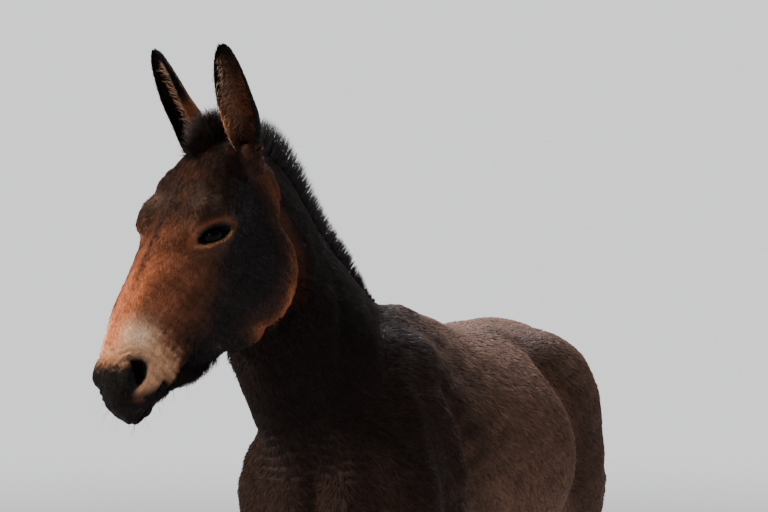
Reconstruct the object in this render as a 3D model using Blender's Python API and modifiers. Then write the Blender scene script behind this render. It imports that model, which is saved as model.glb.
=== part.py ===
"""A mule standing square at life size, its neck and head turned a little to its right.

Metres, +Z up. The mule faces -Y and its left side is towards +X. Forms of bone and muscle are lofted and
blown up as simple solids, fused into one body, and that body is parted with thin plane cuts into the pieces
that a person would name.
"""

import math

import bmesh
import bpy
import numpy as np
from mathutils import Matrix, Vector
from mathutils.bvhtree import BVHTree

# Driving dimensions
EAR_LENGTH = 0.245
EAR_WALL = 0.0035
EYE_RADIUS = 0.030
LID_THICKNESS = 0.0045
EYE_OPENING = (0.063, 0.033)
HOOF_TOE_HEIGHT = 0.078
HOOF_HEEL_HEIGHT = 0.045
MANE_HEIGHT = (0.050, 0.040)
MANE_LOCKS = 42
MANE_LOCKS_ON_HEAD = 12
MANE_LOCK = (0.045, 0.012)
FORELOCK_HEIGHT = 0.078
FORELOCK_LOCKS = 12
FORELOCK_LOCK = (0.027, 0.013)
TAIL_LOCKS = 21
TAIL_LOCK = (0.046, 0.019)
LOCK_SINK = 0.012
GAP = 0.0003

# Colour and roughness of each kind of piece
FINISHES = {
    "head": ("4a3228", 0.85),
    "neck": ("261b1a", 0.85),
    "torso": ("35261f", 0.85),
    "leg": ("241a17", 0.85),
    "ear": ("5a3826", 0.85),
    "tail": ("151011", 0.75),
    "hoof": ("3a332e", 0.55),
    "eye": ("0b0b0d", 0.10),
}

# The head's place and turn
POLL = Vector((-0.122, -0.800, 1.740))
HEAD_YAW = math.radians(20)
HEAD_PITCH = math.radians(59)
HEAD_ROLL = math.radians(2)

# Fineness of the fused body and head
MASS_VOXEL = 0.013
SKIN_VOXEL = 0.006
HEAD_SKIN_TRIANGLES = 10400
BODY_SKIN_TRIANGLES = 4800

# Where thin plane cuts part the body: a point on each cut and the way it faces
NECK_CUT = ((0.0, -0.375, 1.215), (0.0, -0.76, 0.65))
FORE_CUT = ((0.0, -0.30, 0.745), (0.0, 0.0, 1.0))
HIND_CUT = ((0.0, 0.52, 0.805), (0.0, -0.25, 1.0))
TAIL_CUT = ((0.0, 0.845, 1.18), (0.0, 1.0, 0.0))
# The head's two cuts in its own frame, y and z: from behind the poll to the throat, and on under the jaw
HEAD_CUT = ((-0.070, -0.090), (-0.338, 0.160), (-0.285, 0.400))


def head_frame():
    """Matrix whose axes are the head's left side, its face's outward side and its length, from the poll down."""
    forward = Vector((-math.sin(HEAD_YAW), -math.cos(HEAD_YAW), 0))
    up = Vector((0, 0, 1))
    length = math.cos(HEAD_PITCH) * forward - math.sin(HEAD_PITCH) * up
    face = math.sin(HEAD_PITCH) * forward + math.cos(HEAD_PITCH) * up
    left = face.cross(length)
    turned = Matrix((left, face, length)).transposed()
    roll = Matrix.Rotation(HEAD_ROLL, 3, forward)
    return Matrix.Translation(POLL) @ (roll @ turned).to_4x4()


def through(rows, steps):
    """Rows of numbers on a smooth curve through the given rows, this many steps from each to the next."""
    rows = np.array(rows, float)
    ends = np.vstack([2 * rows[0] - rows[1], rows, 2 * rows[-1] - rows[-2]])
    found = []
    for i in range(len(rows) - 1):
        a, b, c, d = ends[i : i + 4]
        for t in np.arange(steps) / steps:
            found.append(
                b + 0.5 * t * (c - a + t * (2 * a - 5 * b + 4 * c - d + t * (3 * b - a - 3 * c + d)))
            )
    found.append(rows[-1])
    return np.array(found)


def solid(name, rings):
    """A closed mesh object lofted through rings of points, with a flat cap at each end."""
    made = bmesh.new()
    loops = [[made.verts.new(point) for point in ring] for ring in rings]
    for one, other in zip(loops, loops[1:]):
        for i in range(len(one)):
            j = (i + 1) % len(one)
            made.faces.new((one[i], one[j], other[j], other[i]))
    made.faces.new(loops[0][::-1])
    made.faces.new(loops[-1])
    bmesh.ops.recalc_face_normals(made, faces=made.faces)
    mesh = bpy.data.meshes.new(name)
    made.to_mesh(mesh)
    made.free()
    return bpy.data.objects.new(name, mesh)


def limb(name, stations, side=(1, 0, 0), steps=4, sides=28):
    """A form along a curved line, from head to tail or from top to bottom. A station is x, y, z, half the width,
    the reach above the line (behind it, on a leg), the reach below (in front), and how pinched each of those is."""
    rows = through(stations, steps)
    along = np.gradient(rows[:, :3], axis=0)
    along /= np.linalg.norm(along, axis=1)[:, None]
    turn = np.linspace(0, 2 * math.pi, sides, endpoint=False)
    across, rise = np.sin(turn), np.cos(turn)
    rings = []
    for row, ahead in zip(rows, along):
        wide = np.array(side) - ahead * (np.array(side) @ ahead)
        wide /= np.linalg.norm(wide)
        over = np.cross(wide, ahead)
        half, above, below, pinch_above, pinch_below = row[3:]
        pinch = np.where(rise > 0, pinch_above, pinch_below) * rise**2
        reach = np.where(rise > 0, above, below) * rise
        ring = row[:3] + np.outer(half * across * (1 - pinch), wide) + np.outer(reach, over)
        rings.append(ring.tolist())
    return solid(name, rings)


def bulge(name, centre, radii, lean=(0, 0, 0)):
    """An ellipsoid of muscle or bone, leant by three angles in degrees."""
    mesh = bpy.data.meshes.new(name)
    ball = bmesh.new()
    bmesh.ops.create_uvsphere(ball, u_segments=18, v_segments=11, radius=1)
    ball.to_mesh(mesh)
    ball.free()
    turn = Matrix.Rotation(math.radians(lean[2]), 4, "Z")
    turn = turn @ Matrix.Rotation(math.radians(lean[1]), 4, "Y")
    turn = turn @ Matrix.Rotation(math.radians(lean[0]), 4, "X")
    mesh.transform(Matrix.Translation(centre) @ turn @ Matrix.Diagonal((*radii, 1)))
    return bpy.data.objects.new(name, mesh)


def both_sides(name, centre, radii, lean=(0, 0, 0)):
    """A bulge on the left side and the same on the right."""
    x, y, z = centre
    left = bulge(name + "_left", centre, radii, lean)
    right = bulge(name + "_right", (-x, y, z), radii, (lean[0], -lean[1], -lean[2]))
    return [left, right]


def applied(piece):
    """The piece with its modifiers turned into mesh."""
    bpy.context.view_layer.update()
    graph = bpy.context.evaluated_depsgraph_get()
    mesh = bpy.data.meshes.new_from_object(piece.evaluated_get(graph))
    piece.modifiers.clear()
    piece.data = mesh
    return piece


def fused(name, pieces, voxel, rounding):
    """One closed skin round all the pieces, with the joins between them rounded."""
    whole = bmesh.new()
    for piece in pieces:
        whole.from_mesh(piece.data)
        bpy.data.objects.remove(piece)
    mesh = bpy.data.meshes.new(name)
    whole.to_mesh(mesh)
    whole.free()
    body = bpy.data.objects.new(name, mesh)
    bpy.context.scene.collection.objects.link(body)
    remesh = body.modifiers.new("skin", "REMESH")
    remesh.mode = "VOXEL"
    remesh.voxel_size = voxel
    smooth = body.modifiers.new("rounding", "SMOOTH")
    smooth.factor = 0.5
    smooth.iterations = rounding
    return applied(body)


def trunk_forms():
    """The barrel from breast to buttocks, and the muscles that lie on it."""
    # y, height of the line, half width, reach up, reach down, pinch up, pinch down
    stations = [
        (-0.50, 1.06, 0.080, 0.080, 0.110, 0.0, 0.0),
        (-0.46, 1.07, 0.140, 0.130, 0.190, 0.1, 0.1),
        (-0.37, 1.07, 0.200, 0.220, 0.270, 0.3, 0.2),
        (-0.25, 1.07, 0.215, 0.300, 0.310, 0.5, 0.2),
        (-0.14, 1.06, 0.235, 0.330, 0.315, 0.6, 0.2),
        (0.00, 1.04, 0.262, 0.318, 0.305, 0.4, 0.1),
        (0.14, 1.03, 0.290, 0.296, 0.305, 0.2, 0.05),
        (0.28, 1.02, 0.298, 0.304, 0.280, 0.15, 0.05),
        (0.40, 1.04, 0.270, 0.296, 0.245, 0.2, 0.1),
        (0.50, 1.07, 0.240, 0.262, 0.230, 0.25, 0.1),
        (0.62, 1.08, 0.220, 0.230, 0.200, 0.35, 0.1),
        (0.72, 1.08, 0.175, 0.185, 0.180, 0.35, 0.1),
        (0.79, 1.06, 0.100, 0.125, 0.140, 0.3, 0.1),
    ]
    rows = [(0, y, z, *rest) for y, z, *rest in stations]
    forms = [limb("trunk", rows)]
    forms += both_sides("shoulder_blade", (0.130, -0.250, 1.130), (0.075, 0.110, 0.220), (-24, -14, 0))
    forms += both_sides("arm_muscle", (0.160, -0.210, 0.980), (0.072, 0.120, 0.180), (-30, 0, 0))
    forms += both_sides("shoulder_point", (0.142, -0.375, 0.975), (0.098, 0.098, 0.165), (14, -4, 0))
    forms += both_sides("breast", (0.060, -0.450, 0.960), (0.075, 0.060, 0.130), (12, 0, 0))
    forms += both_sides("haunch", (0.125, 0.500, 1.120), (0.130, 0.230, 0.180), (-12, -8, 0))
    forms += both_sides("hip_bone", (0.195, 0.370, 1.150), (0.045, 0.070, 0.055), (0, -25, 0))
    forms += both_sides("thigh", (0.150, 0.540, 0.990), (0.105, 0.180, 0.250), (10, 0, 0))
    forms += both_sides("buttock", (0.090, 0.700, 1.030), (0.080, 0.095, 0.170), (6, 0, 0))
    forms += both_sides("stifle", (0.170, 0.410, 0.880), (0.070, 0.080, 0.120), (-15, 0, 0))
    return forms


# Stations of the neck, from inside the head down to inside the shoulders, bent to the mule's right
NECK = [
    (-0.112, -0.765, 1.640, 0.066, 0.090, 0.110, 0.2, 0.0),
    (-0.104, -0.700, 1.575, 0.082, 0.222, 0.120, 0.5, 0.1),
    (-0.092, -0.620, 1.485, 0.096, 0.262, 0.130, 0.6, 0.1),
    (-0.078, -0.535, 1.385, 0.114, 0.270, 0.165, 0.65, 0.1),
    (-0.055, -0.440, 1.285, 0.136, 0.270, 0.212, 0.65, 0.1),
    (-0.025, -0.330, 1.190, 0.158, 0.258, 0.255, 0.6, 0.1),
    (0.000, -0.210, 1.100, 0.175, 0.245, 0.255, 0.5, 0.1),
]

# The line along which the mane stands, from between the ears over the poll to the withers
MANE_LINE = [
    (-0.104, -0.790, 1.742),
    (-0.105, -0.740, 1.750),
    (-0.106, -0.680, 1.742),
    (-0.105, -0.620, 1.732),
    (-0.103, -0.540, 1.706),
    (-0.093, -0.440, 1.645),
    (-0.078, -0.350, 1.556),
    (-0.060, -0.285, 1.487),
    (-0.036, -0.210, 1.417),
    (-0.012, -0.165, 1.385),
]


def leg(name, stations, side):
    """A leg on side +1 (left) or -1."""
    return limb(name, [(side * x, y, z, *rest, 0, 0) for x, y, z, *rest in stations])


# Stations of a foreleg and a hind leg: x, y, z, half width, reach behind, reach in front
FORE_LEG = [
    (0.142, -0.290, 0.930, 0.066, 0.120, 0.110),
    (0.140, -0.295, 0.830, 0.070, 0.120, 0.098),
    (0.132, -0.310, 0.740, 0.063, 0.088, 0.084),
    (0.123, -0.325, 0.640, 0.051, 0.065, 0.064),
    (0.117, -0.333, 0.540, 0.041, 0.048, 0.048),
    (0.114, -0.335, 0.470, 0.039, 0.042, 0.041),
    (0.112, -0.335, 0.420, 0.043, 0.045, 0.044),
    (0.111, -0.334, 0.375, 0.038, 0.044, 0.037),
    (0.110, -0.331, 0.330, 0.029, 0.036, 0.029),
    (0.110, -0.330, 0.250, 0.025, 0.033, 0.027),
    (0.110, -0.332, 0.200, 0.030, 0.038, 0.029),
    (0.110, -0.338, 0.168, 0.034, 0.042, 0.034),
    (0.110, -0.356, 0.130, 0.031, 0.031, 0.030),
    (0.110, -0.374, 0.092, 0.037, 0.035, 0.036),
    (0.110, -0.386, 0.040, 0.038, 0.036, 0.040),
]
HIND_LEG = [
    (0.152, 0.560, 0.980, 0.090, 0.215, 0.205),
    (0.152, 0.540, 0.880, 0.090, 0.200, 0.195),
    (0.148, 0.545, 0.800, 0.080, 0.160, 0.160),
    (0.140, 0.580, 0.720, 0.064, 0.115, 0.115),
    (0.130, 0.620, 0.640, 0.048, 0.080, 0.080),
    (0.124, 0.648, 0.590, 0.041, 0.070, 0.064),
    (0.120, 0.672, 0.545, 0.041, 0.066, 0.060),
    (0.118, 0.675, 0.490, 0.042, 0.051, 0.049),
    (0.116, 0.670, 0.430, 0.035, 0.040, 0.036),
    (0.115, 0.668, 0.360, 0.028, 0.032, 0.028),
    (0.115, 0.665, 0.260, 0.026, 0.031, 0.027),
    (0.115, 0.662, 0.205, 0.030, 0.037, 0.029),
    (0.115, 0.653, 0.170, 0.034, 0.041, 0.034),
    (0.115, 0.634, 0.132, 0.031, 0.031, 0.030),
    (0.115, 0.615, 0.094, 0.036, 0.035, 0.036),
    (0.115, 0.603, 0.040, 0.037, 0.036, 0.040),
]
# Where the middle of a coronet stands: x, y
FORE_HOOF = (0.110, -0.381)
HIND_HOOF = (0.115, 0.608)

# The root of the tail, from inside the rump out
TAIL_DOCK = [
    (0.0, 0.70, 1.215, 0.050, 0.045, 0.045, 0, 0),
    (0.0, 0.78, 1.215, 0.042, 0.038, 0.040, 0, 0),
    (0.0, 0.83, 1.195, 0.034, 0.032, 0.034, 0, 0),
    (0.0, 0.88, 1.150, 0.030, 0.030, 0.032, 0, 0),
]


# The core of the tail, from inside the dock down, half way to the tips of its hair
TAIL_CORE = [
    (0.0, 0.780, 1.215, 0.041, 0.037, 0.039, 0, 0),
    (0.0, 0.830, 1.195, 0.034, 0.032, 0.034, 0, 0),
    (0.0, 0.885, 1.140, 0.029, 0.028, 0.029, 0, 0),
    (0.0, 0.916, 1.040, 0.026, 0.023, 0.023, 0, 0),
    (0.0, 0.922, 0.920, 0.022, 0.019, 0.019, 0, 0),
    (0.0, 0.918, 0.800, 0.014, 0.012, 0.012, 0, 0),
]


def head_form():
    """The head's mass, in its own frame: x to the left, y out of the face, z from the poll to the lips."""
    # length, top, bottom, half widths near the top, in the middle and near the bottom
    stations = [
        (-0.040, -0.045, -0.150, 0.035, 0.048, 0.040),
        (0.000, -0.006, -0.210, 0.055, 0.070, 0.052),
        (0.060, 0.006, -0.265, 0.076, 0.082, 0.062),
        (0.110, 0.012, -0.300, 0.096, 0.088, 0.066),
        (0.155, 0.016, -0.320, 0.110, 0.090, 0.068),
        (0.205, 0.016, -0.324, 0.098, 0.090, 0.066),
        (0.250, 0.015, -0.314, 0.076, 0.088, 0.060),
        (0.300, 0.017, -0.298, 0.062, 0.078, 0.052),
        (0.360, 0.019, -0.268, 0.055, 0.067, 0.044),
        (0.420, 0.017, -0.230, 0.048, 0.057, 0.038),
        (0.470, 0.011, -0.190, 0.043, 0.053, 0.036),
        (0.520, 0.002, -0.150, 0.042, 0.054, 0.036),
        (0.565, -0.012, -0.138, 0.042, 0.050, 0.032),
        (0.600, -0.040, -0.128, 0.028, 0.036, 0.022),
        (0.614, -0.066, -0.112, 0.012, 0.016, 0.010),
    ]
    rings = []
    for z, top, bottom, near_top, middle, near_bottom in through(stations, 4):
        deep = bottom - top
        half = [
            (0, top),
            (near_top, top + 0.12 * deep),
            (middle, top + 0.45 * deep),
            (near_bottom, top + 0.84 * deep),
            (0, bottom),
        ]
        ring = half + [(-x, y) for x, y in half[-2:0:-1]]
        closed = np.array(ring[-1:] + ring + ring[:2], float)
        smooth = through(closed, 4)[4:-8]
        rings.append([(x, y, z) for x, y in smooth])
    return solid("head_mass", rings)


def head_features(place):
    """Brow ridges, cheek muscles, nostril wings, chin and ear roots, to be fused with the head."""
    forms = both_sides("brow", (0.076, -0.010, 0.175), (0.030, 0.020, 0.040))
    forms += both_sides("cheek", (0.062, -0.205, 0.150), (0.030, 0.085, 0.105), (0, 0, 0))
    forms += both_sides("cheek_ridge", (0.064, -0.078, 0.290), (0.017, 0.014, 0.075), (-8, -10, 0))
    forms += both_sides("nostril_wing", (0.040, -0.045, 0.530), (0.026, 0.034, 0.045), (-10, 0, 0))
    forms += both_sides("upper_lip", (0.024, -0.090, 0.560), (0.028, 0.034, 0.046), (0, 0, 0))
    forms.append(bulge("chin", (0, -0.152, 0.488), (0.027, 0.022, 0.034)))
    for side in (1, -1):
        root = limb("ear_root", [(0, 0, -0.045, 0.024, 0.024, 0.024, 0, 0), (0, 0, 0.02, 0.024, 0.024, 0.024, 0, 0)])
        root.data.transform(ear_frame(side))
        forms.append(root)
    for form in forms:
        form.data.transform(place)
    return forms


def ear_frame(side):
    """Matrix in the head's frame of one ear: x across it, y out of its opening, z along it from its base."""
    along = Vector((side * 0.13, 0.865, -0.58)).normalized()
    forward = Vector((0, math.sin(HEAD_PITCH), math.cos(HEAD_PITCH)))
    swing = math.radians(22 if side > 0 else 2)
    opening = math.cos(swing) * forward + Vector((side * math.sin(swing), 0, 0))
    opening = (opening - opening.dot(along) * along).normalized()
    across = opening.cross(along)
    turned = Matrix((across, opening, along)).transposed()
    return Matrix.Translation((side * 0.074, -0.080, -0.012)) @ turned.to_4x4()


def ear(name, side):
    """One ear: a cup of gristle with a rim, open to the front, narrowing to its tip."""
    # share of the length, half width, depth, wrap in degrees, how far the tip curls forward
    stations = [
        (0.00, 0.025, 0.025, 140, 0.000),
        (0.14, 0.030, 0.031, 128, 0.000),
        (0.32, 0.036, 0.034, 108, 0.000),
        (0.52, 0.037, 0.030, 98, 0.002),
        (0.70, 0.032, 0.024, 92, 0.006),
        (0.85, 0.022, 0.017, 88, 0.012),
        (0.95, 0.013, 0.010, 86, 0.017),
        (1.00, 0.004, 0.004, 84, 0.020),
    ]
    rings = []
    for share, half, deep, wrap, curl in through(stations, 2):
        turn = np.radians(np.linspace(-wrap, wrap, 9))
        thin = min(EAR_WALL, 0.4 * min(half, deep))
        outer = [(half * math.sin(t), curl - deep * math.cos(t)) for t in turn]
        inner = [((half - thin) * math.sin(t), curl - (deep - thin) * math.cos(t)) for t in turn]
        rings.append([(x, y, share * EAR_LENGTH) for x, y in outer + inner[::-1]])
    made = solid(name, rings)
    made.data.transform(ear_frame(side))
    return made


def eye_centre(side):
    return Vector((side * 0.0735, -0.064, 0.197))


def eye_frame(side):
    """Matrix in the head's frame at an eye: x along the opening, towards the muzzle, y up across it, z outward."""
    out = Vector((side * 0.86, 0.46, 0.12)).normalized()
    along = Vector((0, 0.62, 0.75))
    along = (along - along.dot(out) * out).normalized()
    turned = Matrix((along, out.cross(along), out)).transposed()
    return Matrix.Translation(eye_centre(side)) @ turned.to_4x4()


def prism(name, outline, low, high):
    """A closed prism over an outline in x and y, from one height to another."""
    return solid(name, [[(x, y, low) for x, y in outline], [(x, y, high) for x, y in outline]])


def almond(width, height):
    """The outline of the opening between the lids."""
    turn = np.linspace(0, 2 * math.pi, 20, endpoint=False)
    shape = []
    for t in turn:
        x = 0.5 * width * math.cos(t)
        arch = 1 - (2 * x / width) ** 2
        y = 0.5 * height * math.copysign(arch**0.72, math.sin(t)) if abs(math.sin(t)) > 1e-6 else 0
        shape.append((x, y))
    return shape


def linked(piece):
    """The piece as an object of the scene."""
    if piece.name not in bpy.context.scene.collection.objects:
        bpy.context.scene.collection.objects.link(piece)
    return piece


def joined(body, pieces, operation):
    """The body with the pieces joined to it or cut out of it, by one Boolean on a collection of them."""
    tools = bpy.data.collections.new("tools")
    bpy.context.scene.collection.children.link(tools)
    for piece in pieces:
        tools.objects.link(piece)
    change = body.modifiers.new("join", "BOOLEAN")
    change.operand_type = "COLLECTION"
    change.collection = tools
    change.operation = operation
    change.solver = "EXACT"
    applied(body)
    for piece in pieces:
        bpy.data.objects.remove(piece)
    bpy.data.collections.remove(tools)
    return largest(body)


def largest(body, near=None):
    """The body with only its largest closed surface left, or the one nearest a point."""
    mesh = bmesh.new()
    mesh.from_mesh(body.data)
    bmesh.ops.remove_doubles(mesh, verts=mesh.verts, dist=0.00002)
    left, groups = set(mesh.verts), []
    while left:
        group, edge = set(), [left.pop()]
        while edge:
            vert = edge.pop()
            group.add(vert)
            for link in vert.link_edges:
                other = link.other_vert(vert)
                if other in left:
                    left.discard(other)
                    edge.append(other)
        groups.append(group)
    if near is None:
        keep = max(groups, key=len)
    else:
        keep = min(groups, key=lambda group: min((vert.co - Vector(near)).length for vert in group))
    bmesh.ops.delete(mesh, geom=[vert for vert in mesh.verts if vert not in keep], context="VERTS")
    mesh.to_mesh(body.data)
    mesh.free()
    return body


def parted(name, whole, cuts, near):
    """A copy of the whole without what lies before each cut, and of what is left the piece nearest a point."""
    mesh = bmesh.new()
    mesh.from_mesh(whole.data)
    for point, facing in cuts:
        geometry = [*mesh.verts, *mesh.edges, *mesh.faces]
        bmesh.ops.bisect_plane(mesh, geom=geometry, plane_co=point, plane_no=facing, clear_outer=True, dist=1e-6)
        rim = [edge for edge in mesh.edges if edge.is_boundary]
        bmesh.ops.holes_fill(mesh, edges=rim)
    data = bpy.data.meshes.new(name)
    mesh.to_mesh(data)
    mesh.free()
    piece = bpy.data.objects.new(name, data)
    return linked(largest(piece, near))


def thinned(name, body, triangles):
    """A copy of the body with about this many triangles."""
    copy = linked(bpy.data.objects.new(name, body.data.copy()))
    change = copy.modifiers.new("fewer", "DECIMATE")
    change.ratio = triangles / sum(len(face.vertices) - 2 for face in body.data.polygons)
    return applied(copy)


def behind(cut, distance):
    """The same cut moved back along its facing, so that a gap stays between the two pieces it parts."""
    point, facing = Vector(cut[0]), Vector(cut[1]).normalized()
    return point - facing * distance, facing


def head_cuts(place):
    """The two cuts that part the head from the neck, facing away from the head."""
    across = place.to_3x3() @ Vector((1, 0, 0))
    inside = place @ Vector((0, -0.1, 0.25))
    found = []
    for one, other in zip(HEAD_CUT, HEAD_CUT[1:]):
        start, end = (place @ Vector((0, *point)) for point in (one, other))
        facing = (end - start).cross(across).normalized()
        if facing.dot(inside - start) > 0:
            facing = -facing
        found.append((start, facing))
    return found


def head_room(place):
    """A wide prism that fills the head's side of its two cuts, to cut the head's place out of the neck."""
    poll, throat, chin = (Vector(point) for point in HEAD_CUT)
    far_up = throat + (poll - throat) * 2
    far_down = throat + (chin - throat) * 4
    outline = [throat, far_up, Vector((0.6, far_up.y)), Vector((0.6, far_down.y)), far_down]
    room = solid("head_room", [[(x, y, z) for y, z in outline] for x in (-0.4, 0.4)])
    room.data.transform(place)
    return room


def coronet_cut(y):
    """The sloping cut between a leg and its hoof, higher at the toe than at the heel."""
    slope = (HOOF_TOE_HEIGHT - HOOF_HEEL_HEIGHT) / 0.08
    return Vector((0, y - 0.04, HOOF_TOE_HEIGHT)), Vector((0, slope, 1)).normalized()


def tree_of(surface):
    return BVHTree.FromPolygons([v.co for v in surface.data.vertices], [p.vertices for p in surface.data.polygons])


def crest_line(surface, count):
    """Evenly spaced points on the skin under the mane's line, each with its ways out, along and to the left."""
    tree = tree_of(surface)
    rows = through(MANE_LINE, 12)
    reach = np.concatenate([[0], np.cumsum(np.linalg.norm(np.diff(rows, axis=0), axis=1))])
    found = []
    for place in np.linspace(0, reach[-1], count):
        spot, ahead = (
            Vector([np.interp(at, reach, rows[:, k]) for k in range(3)]) for at in (place, place + 0.03)
        )
        if place + 0.03 > reach[-1]:
            ahead = spot * 2 - Vector([np.interp(place - 0.03, reach, rows[:, k]) for k in range(3)])
        ahead = (ahead - spot).normalized()
        left = (Vector((1, 0, 0)) - ahead * ahead.x).normalized()
        out = left.cross(ahead).normalized()
        hit = tree.ray_cast(spot + out * 0.2, -out)[0]
        found.append((hit, out, ahead, left))
    return found


def lock(root, rise, lie, wide, length, size, steps, tip=0.06):
    """A flat, tapered lock of hair: it leaves its root along rise and bends over towards lie. Its size is its
    width and thickness, and its tip is a share of the width."""
    width, thick = size
    rings = []
    place = Vector(root)
    for i in range(steps + 1):
        share = i / steps
        way = (Vector(rise) * (1 - share) + Vector(lie) * share).normalized()
        across = (Vector(wide) - way * way.dot(Vector(wide))).normalized()
        flat = way.cross(across)
        taper = tip + (1 - tip) * (1 - share**2.5) * (0.86 + 0.5 * share * (1 - share))
        a, b = across * (0.5 * width * taper), flat * (0.5 * thick * (1 - 0.8 * share))
        rings.append([place + a, place + b, place - a, place - b])
        place = place + way * (length / steps)
    return solid("lock", rings)


def mane_locks(surface):
    """The upright mane from between the ears to the withers, as two staggered rows of overlapping locks."""
    draw = np.random.default_rng(11)
    pieces = []
    for i, (root, out, ahead, left) in enumerate(crest_line(surface, MANE_LOCKS)):
        side = 1 if i % 2 else -1
        share = i / (MANE_LOCKS - 1)
        tall = np.interp(share, (0, 0.15, 0.55, 0.8, 1), (*MANE_HEIGHT[:1] * 2, *MANE_HEIGHT[1:] * 2, 0.008))
        tall *= draw.uniform(0.92, 1.08)
        rise = out + left * (0.16 * side) + ahead * draw.uniform(-0.10, 0.10)
        lie = out + left * (-0.10 * side) + ahead * draw.uniform(0.15, 0.50)
        start = root - out * LOCK_SINK + left * (0.0045 * side)
        pieces.append(lock(start, rise, lie, ahead, tall + LOCK_SINK, MANE_LOCK, 3, 0.3))
    return pieces


def forelock_locks(surface, place):
    """The tuft between the ears: locks that rise with the ears and fall a little forward."""
    draw = np.random.default_rng(5)
    tree = tree_of(surface)
    turned = place.to_3x3()
    pieces = []
    for i in range(FORELOCK_LOCKS):
        row, column = divmod(i, 4)
        x = (column - 1.5) * 0.016 + (0.008 if row % 2 else 0)
        spot = place @ Vector((x, -0.035 - 0.020 * row, 0.004 - 0.012 * row))
        out = (turned @ Vector((0, 0.80, -0.60))).normalized()
        hit = tree.ray_cast(spot + out * 0.3, -out)[0]
        rise = out + turned @ Vector((3.0 * x, 0, 0))
        lie = out + turned @ Vector((6.0 * x, draw.uniform(-0.1, 0.3), draw.uniform(0.0, 0.5)))
        tall = FORELOCK_HEIGHT * draw.uniform(0.8, 1.05) + 0.012 * row
        wide = turned @ Vector((1, 0, draw.uniform(-0.5, 0.5)))
        pieces.append(lock(hit - out * LOCK_SINK, rise, lie, wide, tall + LOCK_SINK, FORELOCK_LOCK, 4))
    return pieces


def tail_locks():
    """The hair of the tail in tiers round its core, each lock hanging over the tier below."""
    draw = np.random.default_rng(3)
    rows = through(TAIL_CORE, 8)[14:]
    pieces = []
    for i in range(TAIL_LOCKS):
        share = (i + 0.5) / TAIL_LOCKS
        row = rows[int(share**0.9 * (len(rows) - 1))]
        turn = 2.4 * i
        out = Vector((math.sin(turn), math.cos(turn), 0))
        half = row[3]
        start = Vector(row[:3]) + out * (half * 0.35)
        down = Vector((0, -0.04, -1))
        rise = (out * 0.20 + Vector((0, 0.06, -0.95))).normalized()
        lie = (down - out * 0.06).normalized()
        length = (0.38 + 0.12 * share) * draw.uniform(0.9, 1.1)
        wide = Vector((math.cos(turn), -math.sin(turn), 0))
        pieces.append(lock(start, rise, lie, wide, length, TAIL_LOCK, 5))
    return pieces


def mouth_line():
    """A thin curved blade between the lips, from one corner round the front to the other."""
    rings = []
    turn = np.linspace(-1, 1, 17)
    for t in turn:
        x = 0.075 * math.sin(t * math.pi / 2)
        z = 0.455 + 0.165 * math.cos(t * math.pi / 2) ** 0.8 if abs(t) < 1 else 0.455
        y = -0.116 - 0.006 * math.cos(t * math.pi)
        inner_x, inner_z = 0.70 * x, z - 0.035 * math.cos(t * math.pi / 2) - 0.004
        rings.append([
            (inner_x, y, inner_z),
            (x, y - 0.0012, z),
            (x * 1.02, y + 0.0012, z + 0.001),
        ])
    return solid("mouth", rings)


def box_below(name, cut, across, along):
    """A box that fills everything under a cut between two widths and two lengths, to cut a leg away with."""
    point, facing = cut
    corners = []
    for x, y in ((across[0], along[0]), (across[1], along[0]), (across[1], along[1]), (across[0], along[1])):
        corners.append((x, y, point.z - facing.y * (y - point.y) / facing.z))
    low = [(x, y, -0.1) for x, y, z in corners]
    return solid(name, [low, corners])


def turned_round(cut):
    return Vector(cut[0]), -Vector(cut[1])


def hoof(name, centre, cut):
    """A hoof from the coronet down to its flat sole: upright, narrow, rounded at the toe, flatter at the heel."""
    # share of the height, half width, reach to the toe, reach to the heel
    stations = [
        (0.00, 0.0485, 0.072, 0.043),
        (0.06, 0.0500, 0.073, 0.045),
        (0.50, 0.0460, 0.060, 0.043),
        (0.93, 0.0405, 0.045, 0.040),
        (1.00, 0.0385, 0.041, 0.038),
    ]
    point, facing = cut
    rings = []
    for share, half, toe, heel in stations:
        ring = []
        for t in np.linspace(0, 2 * math.pi, 20, endpoint=False):
            ahead = math.cos(t)
            reach = toe * ahead if ahead > 0 else heel * math.copysign(abs(ahead) ** 0.7, ahead)
            x = centre[0] + half * math.sin(t)
            y = centre[1] - reach
            top = point.z - (y - point.y) * facing.y / facing.z
            ring.append((x, y, share * top))
        rings.append(ring)
    return linked(solid(name, rings))


def linear(code):
    """The linear colour of a six-digit code."""
    shares = [int(code[i : i + 2], 16) / 255 for i in (0, 2, 4)]
    return [share / 12.92 if share < 0.04045 else ((share + 0.055) / 1.055) ** 2.4 for share in shares]


def finish(piece, kind):
    """Gives the piece its material and smooth shading, and its mesh its name."""
    code, roughness = FINISHES[kind]
    material = bpy.data.materials.new(piece.name)
    material.use_nodes = True
    shader = material.node_tree.nodes["Principled BSDF"]
    shader.inputs["Base Color"].default_value = (*linear(code), 1)
    shader.inputs["Roughness"].default_value = roughness
    piece.data.materials.clear()
    piece.data.materials.append(material)
    piece.data.name = piece.name
    for face in piece.data.polygons:
        face.use_smooth = True


def centred(pieces):
    """Moves all the pieces together, so that the middle of their box stands over the origin."""
    points = np.vstack([[vert.co for vert in piece.data.vertices] for piece in pieces])
    middle = (points.min(axis=0) + points.max(axis=0)) / 2
    for piece in pieces:
        piece.data.transform(Matrix.Translation((-middle[0], -middle[1], 0)))


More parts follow.
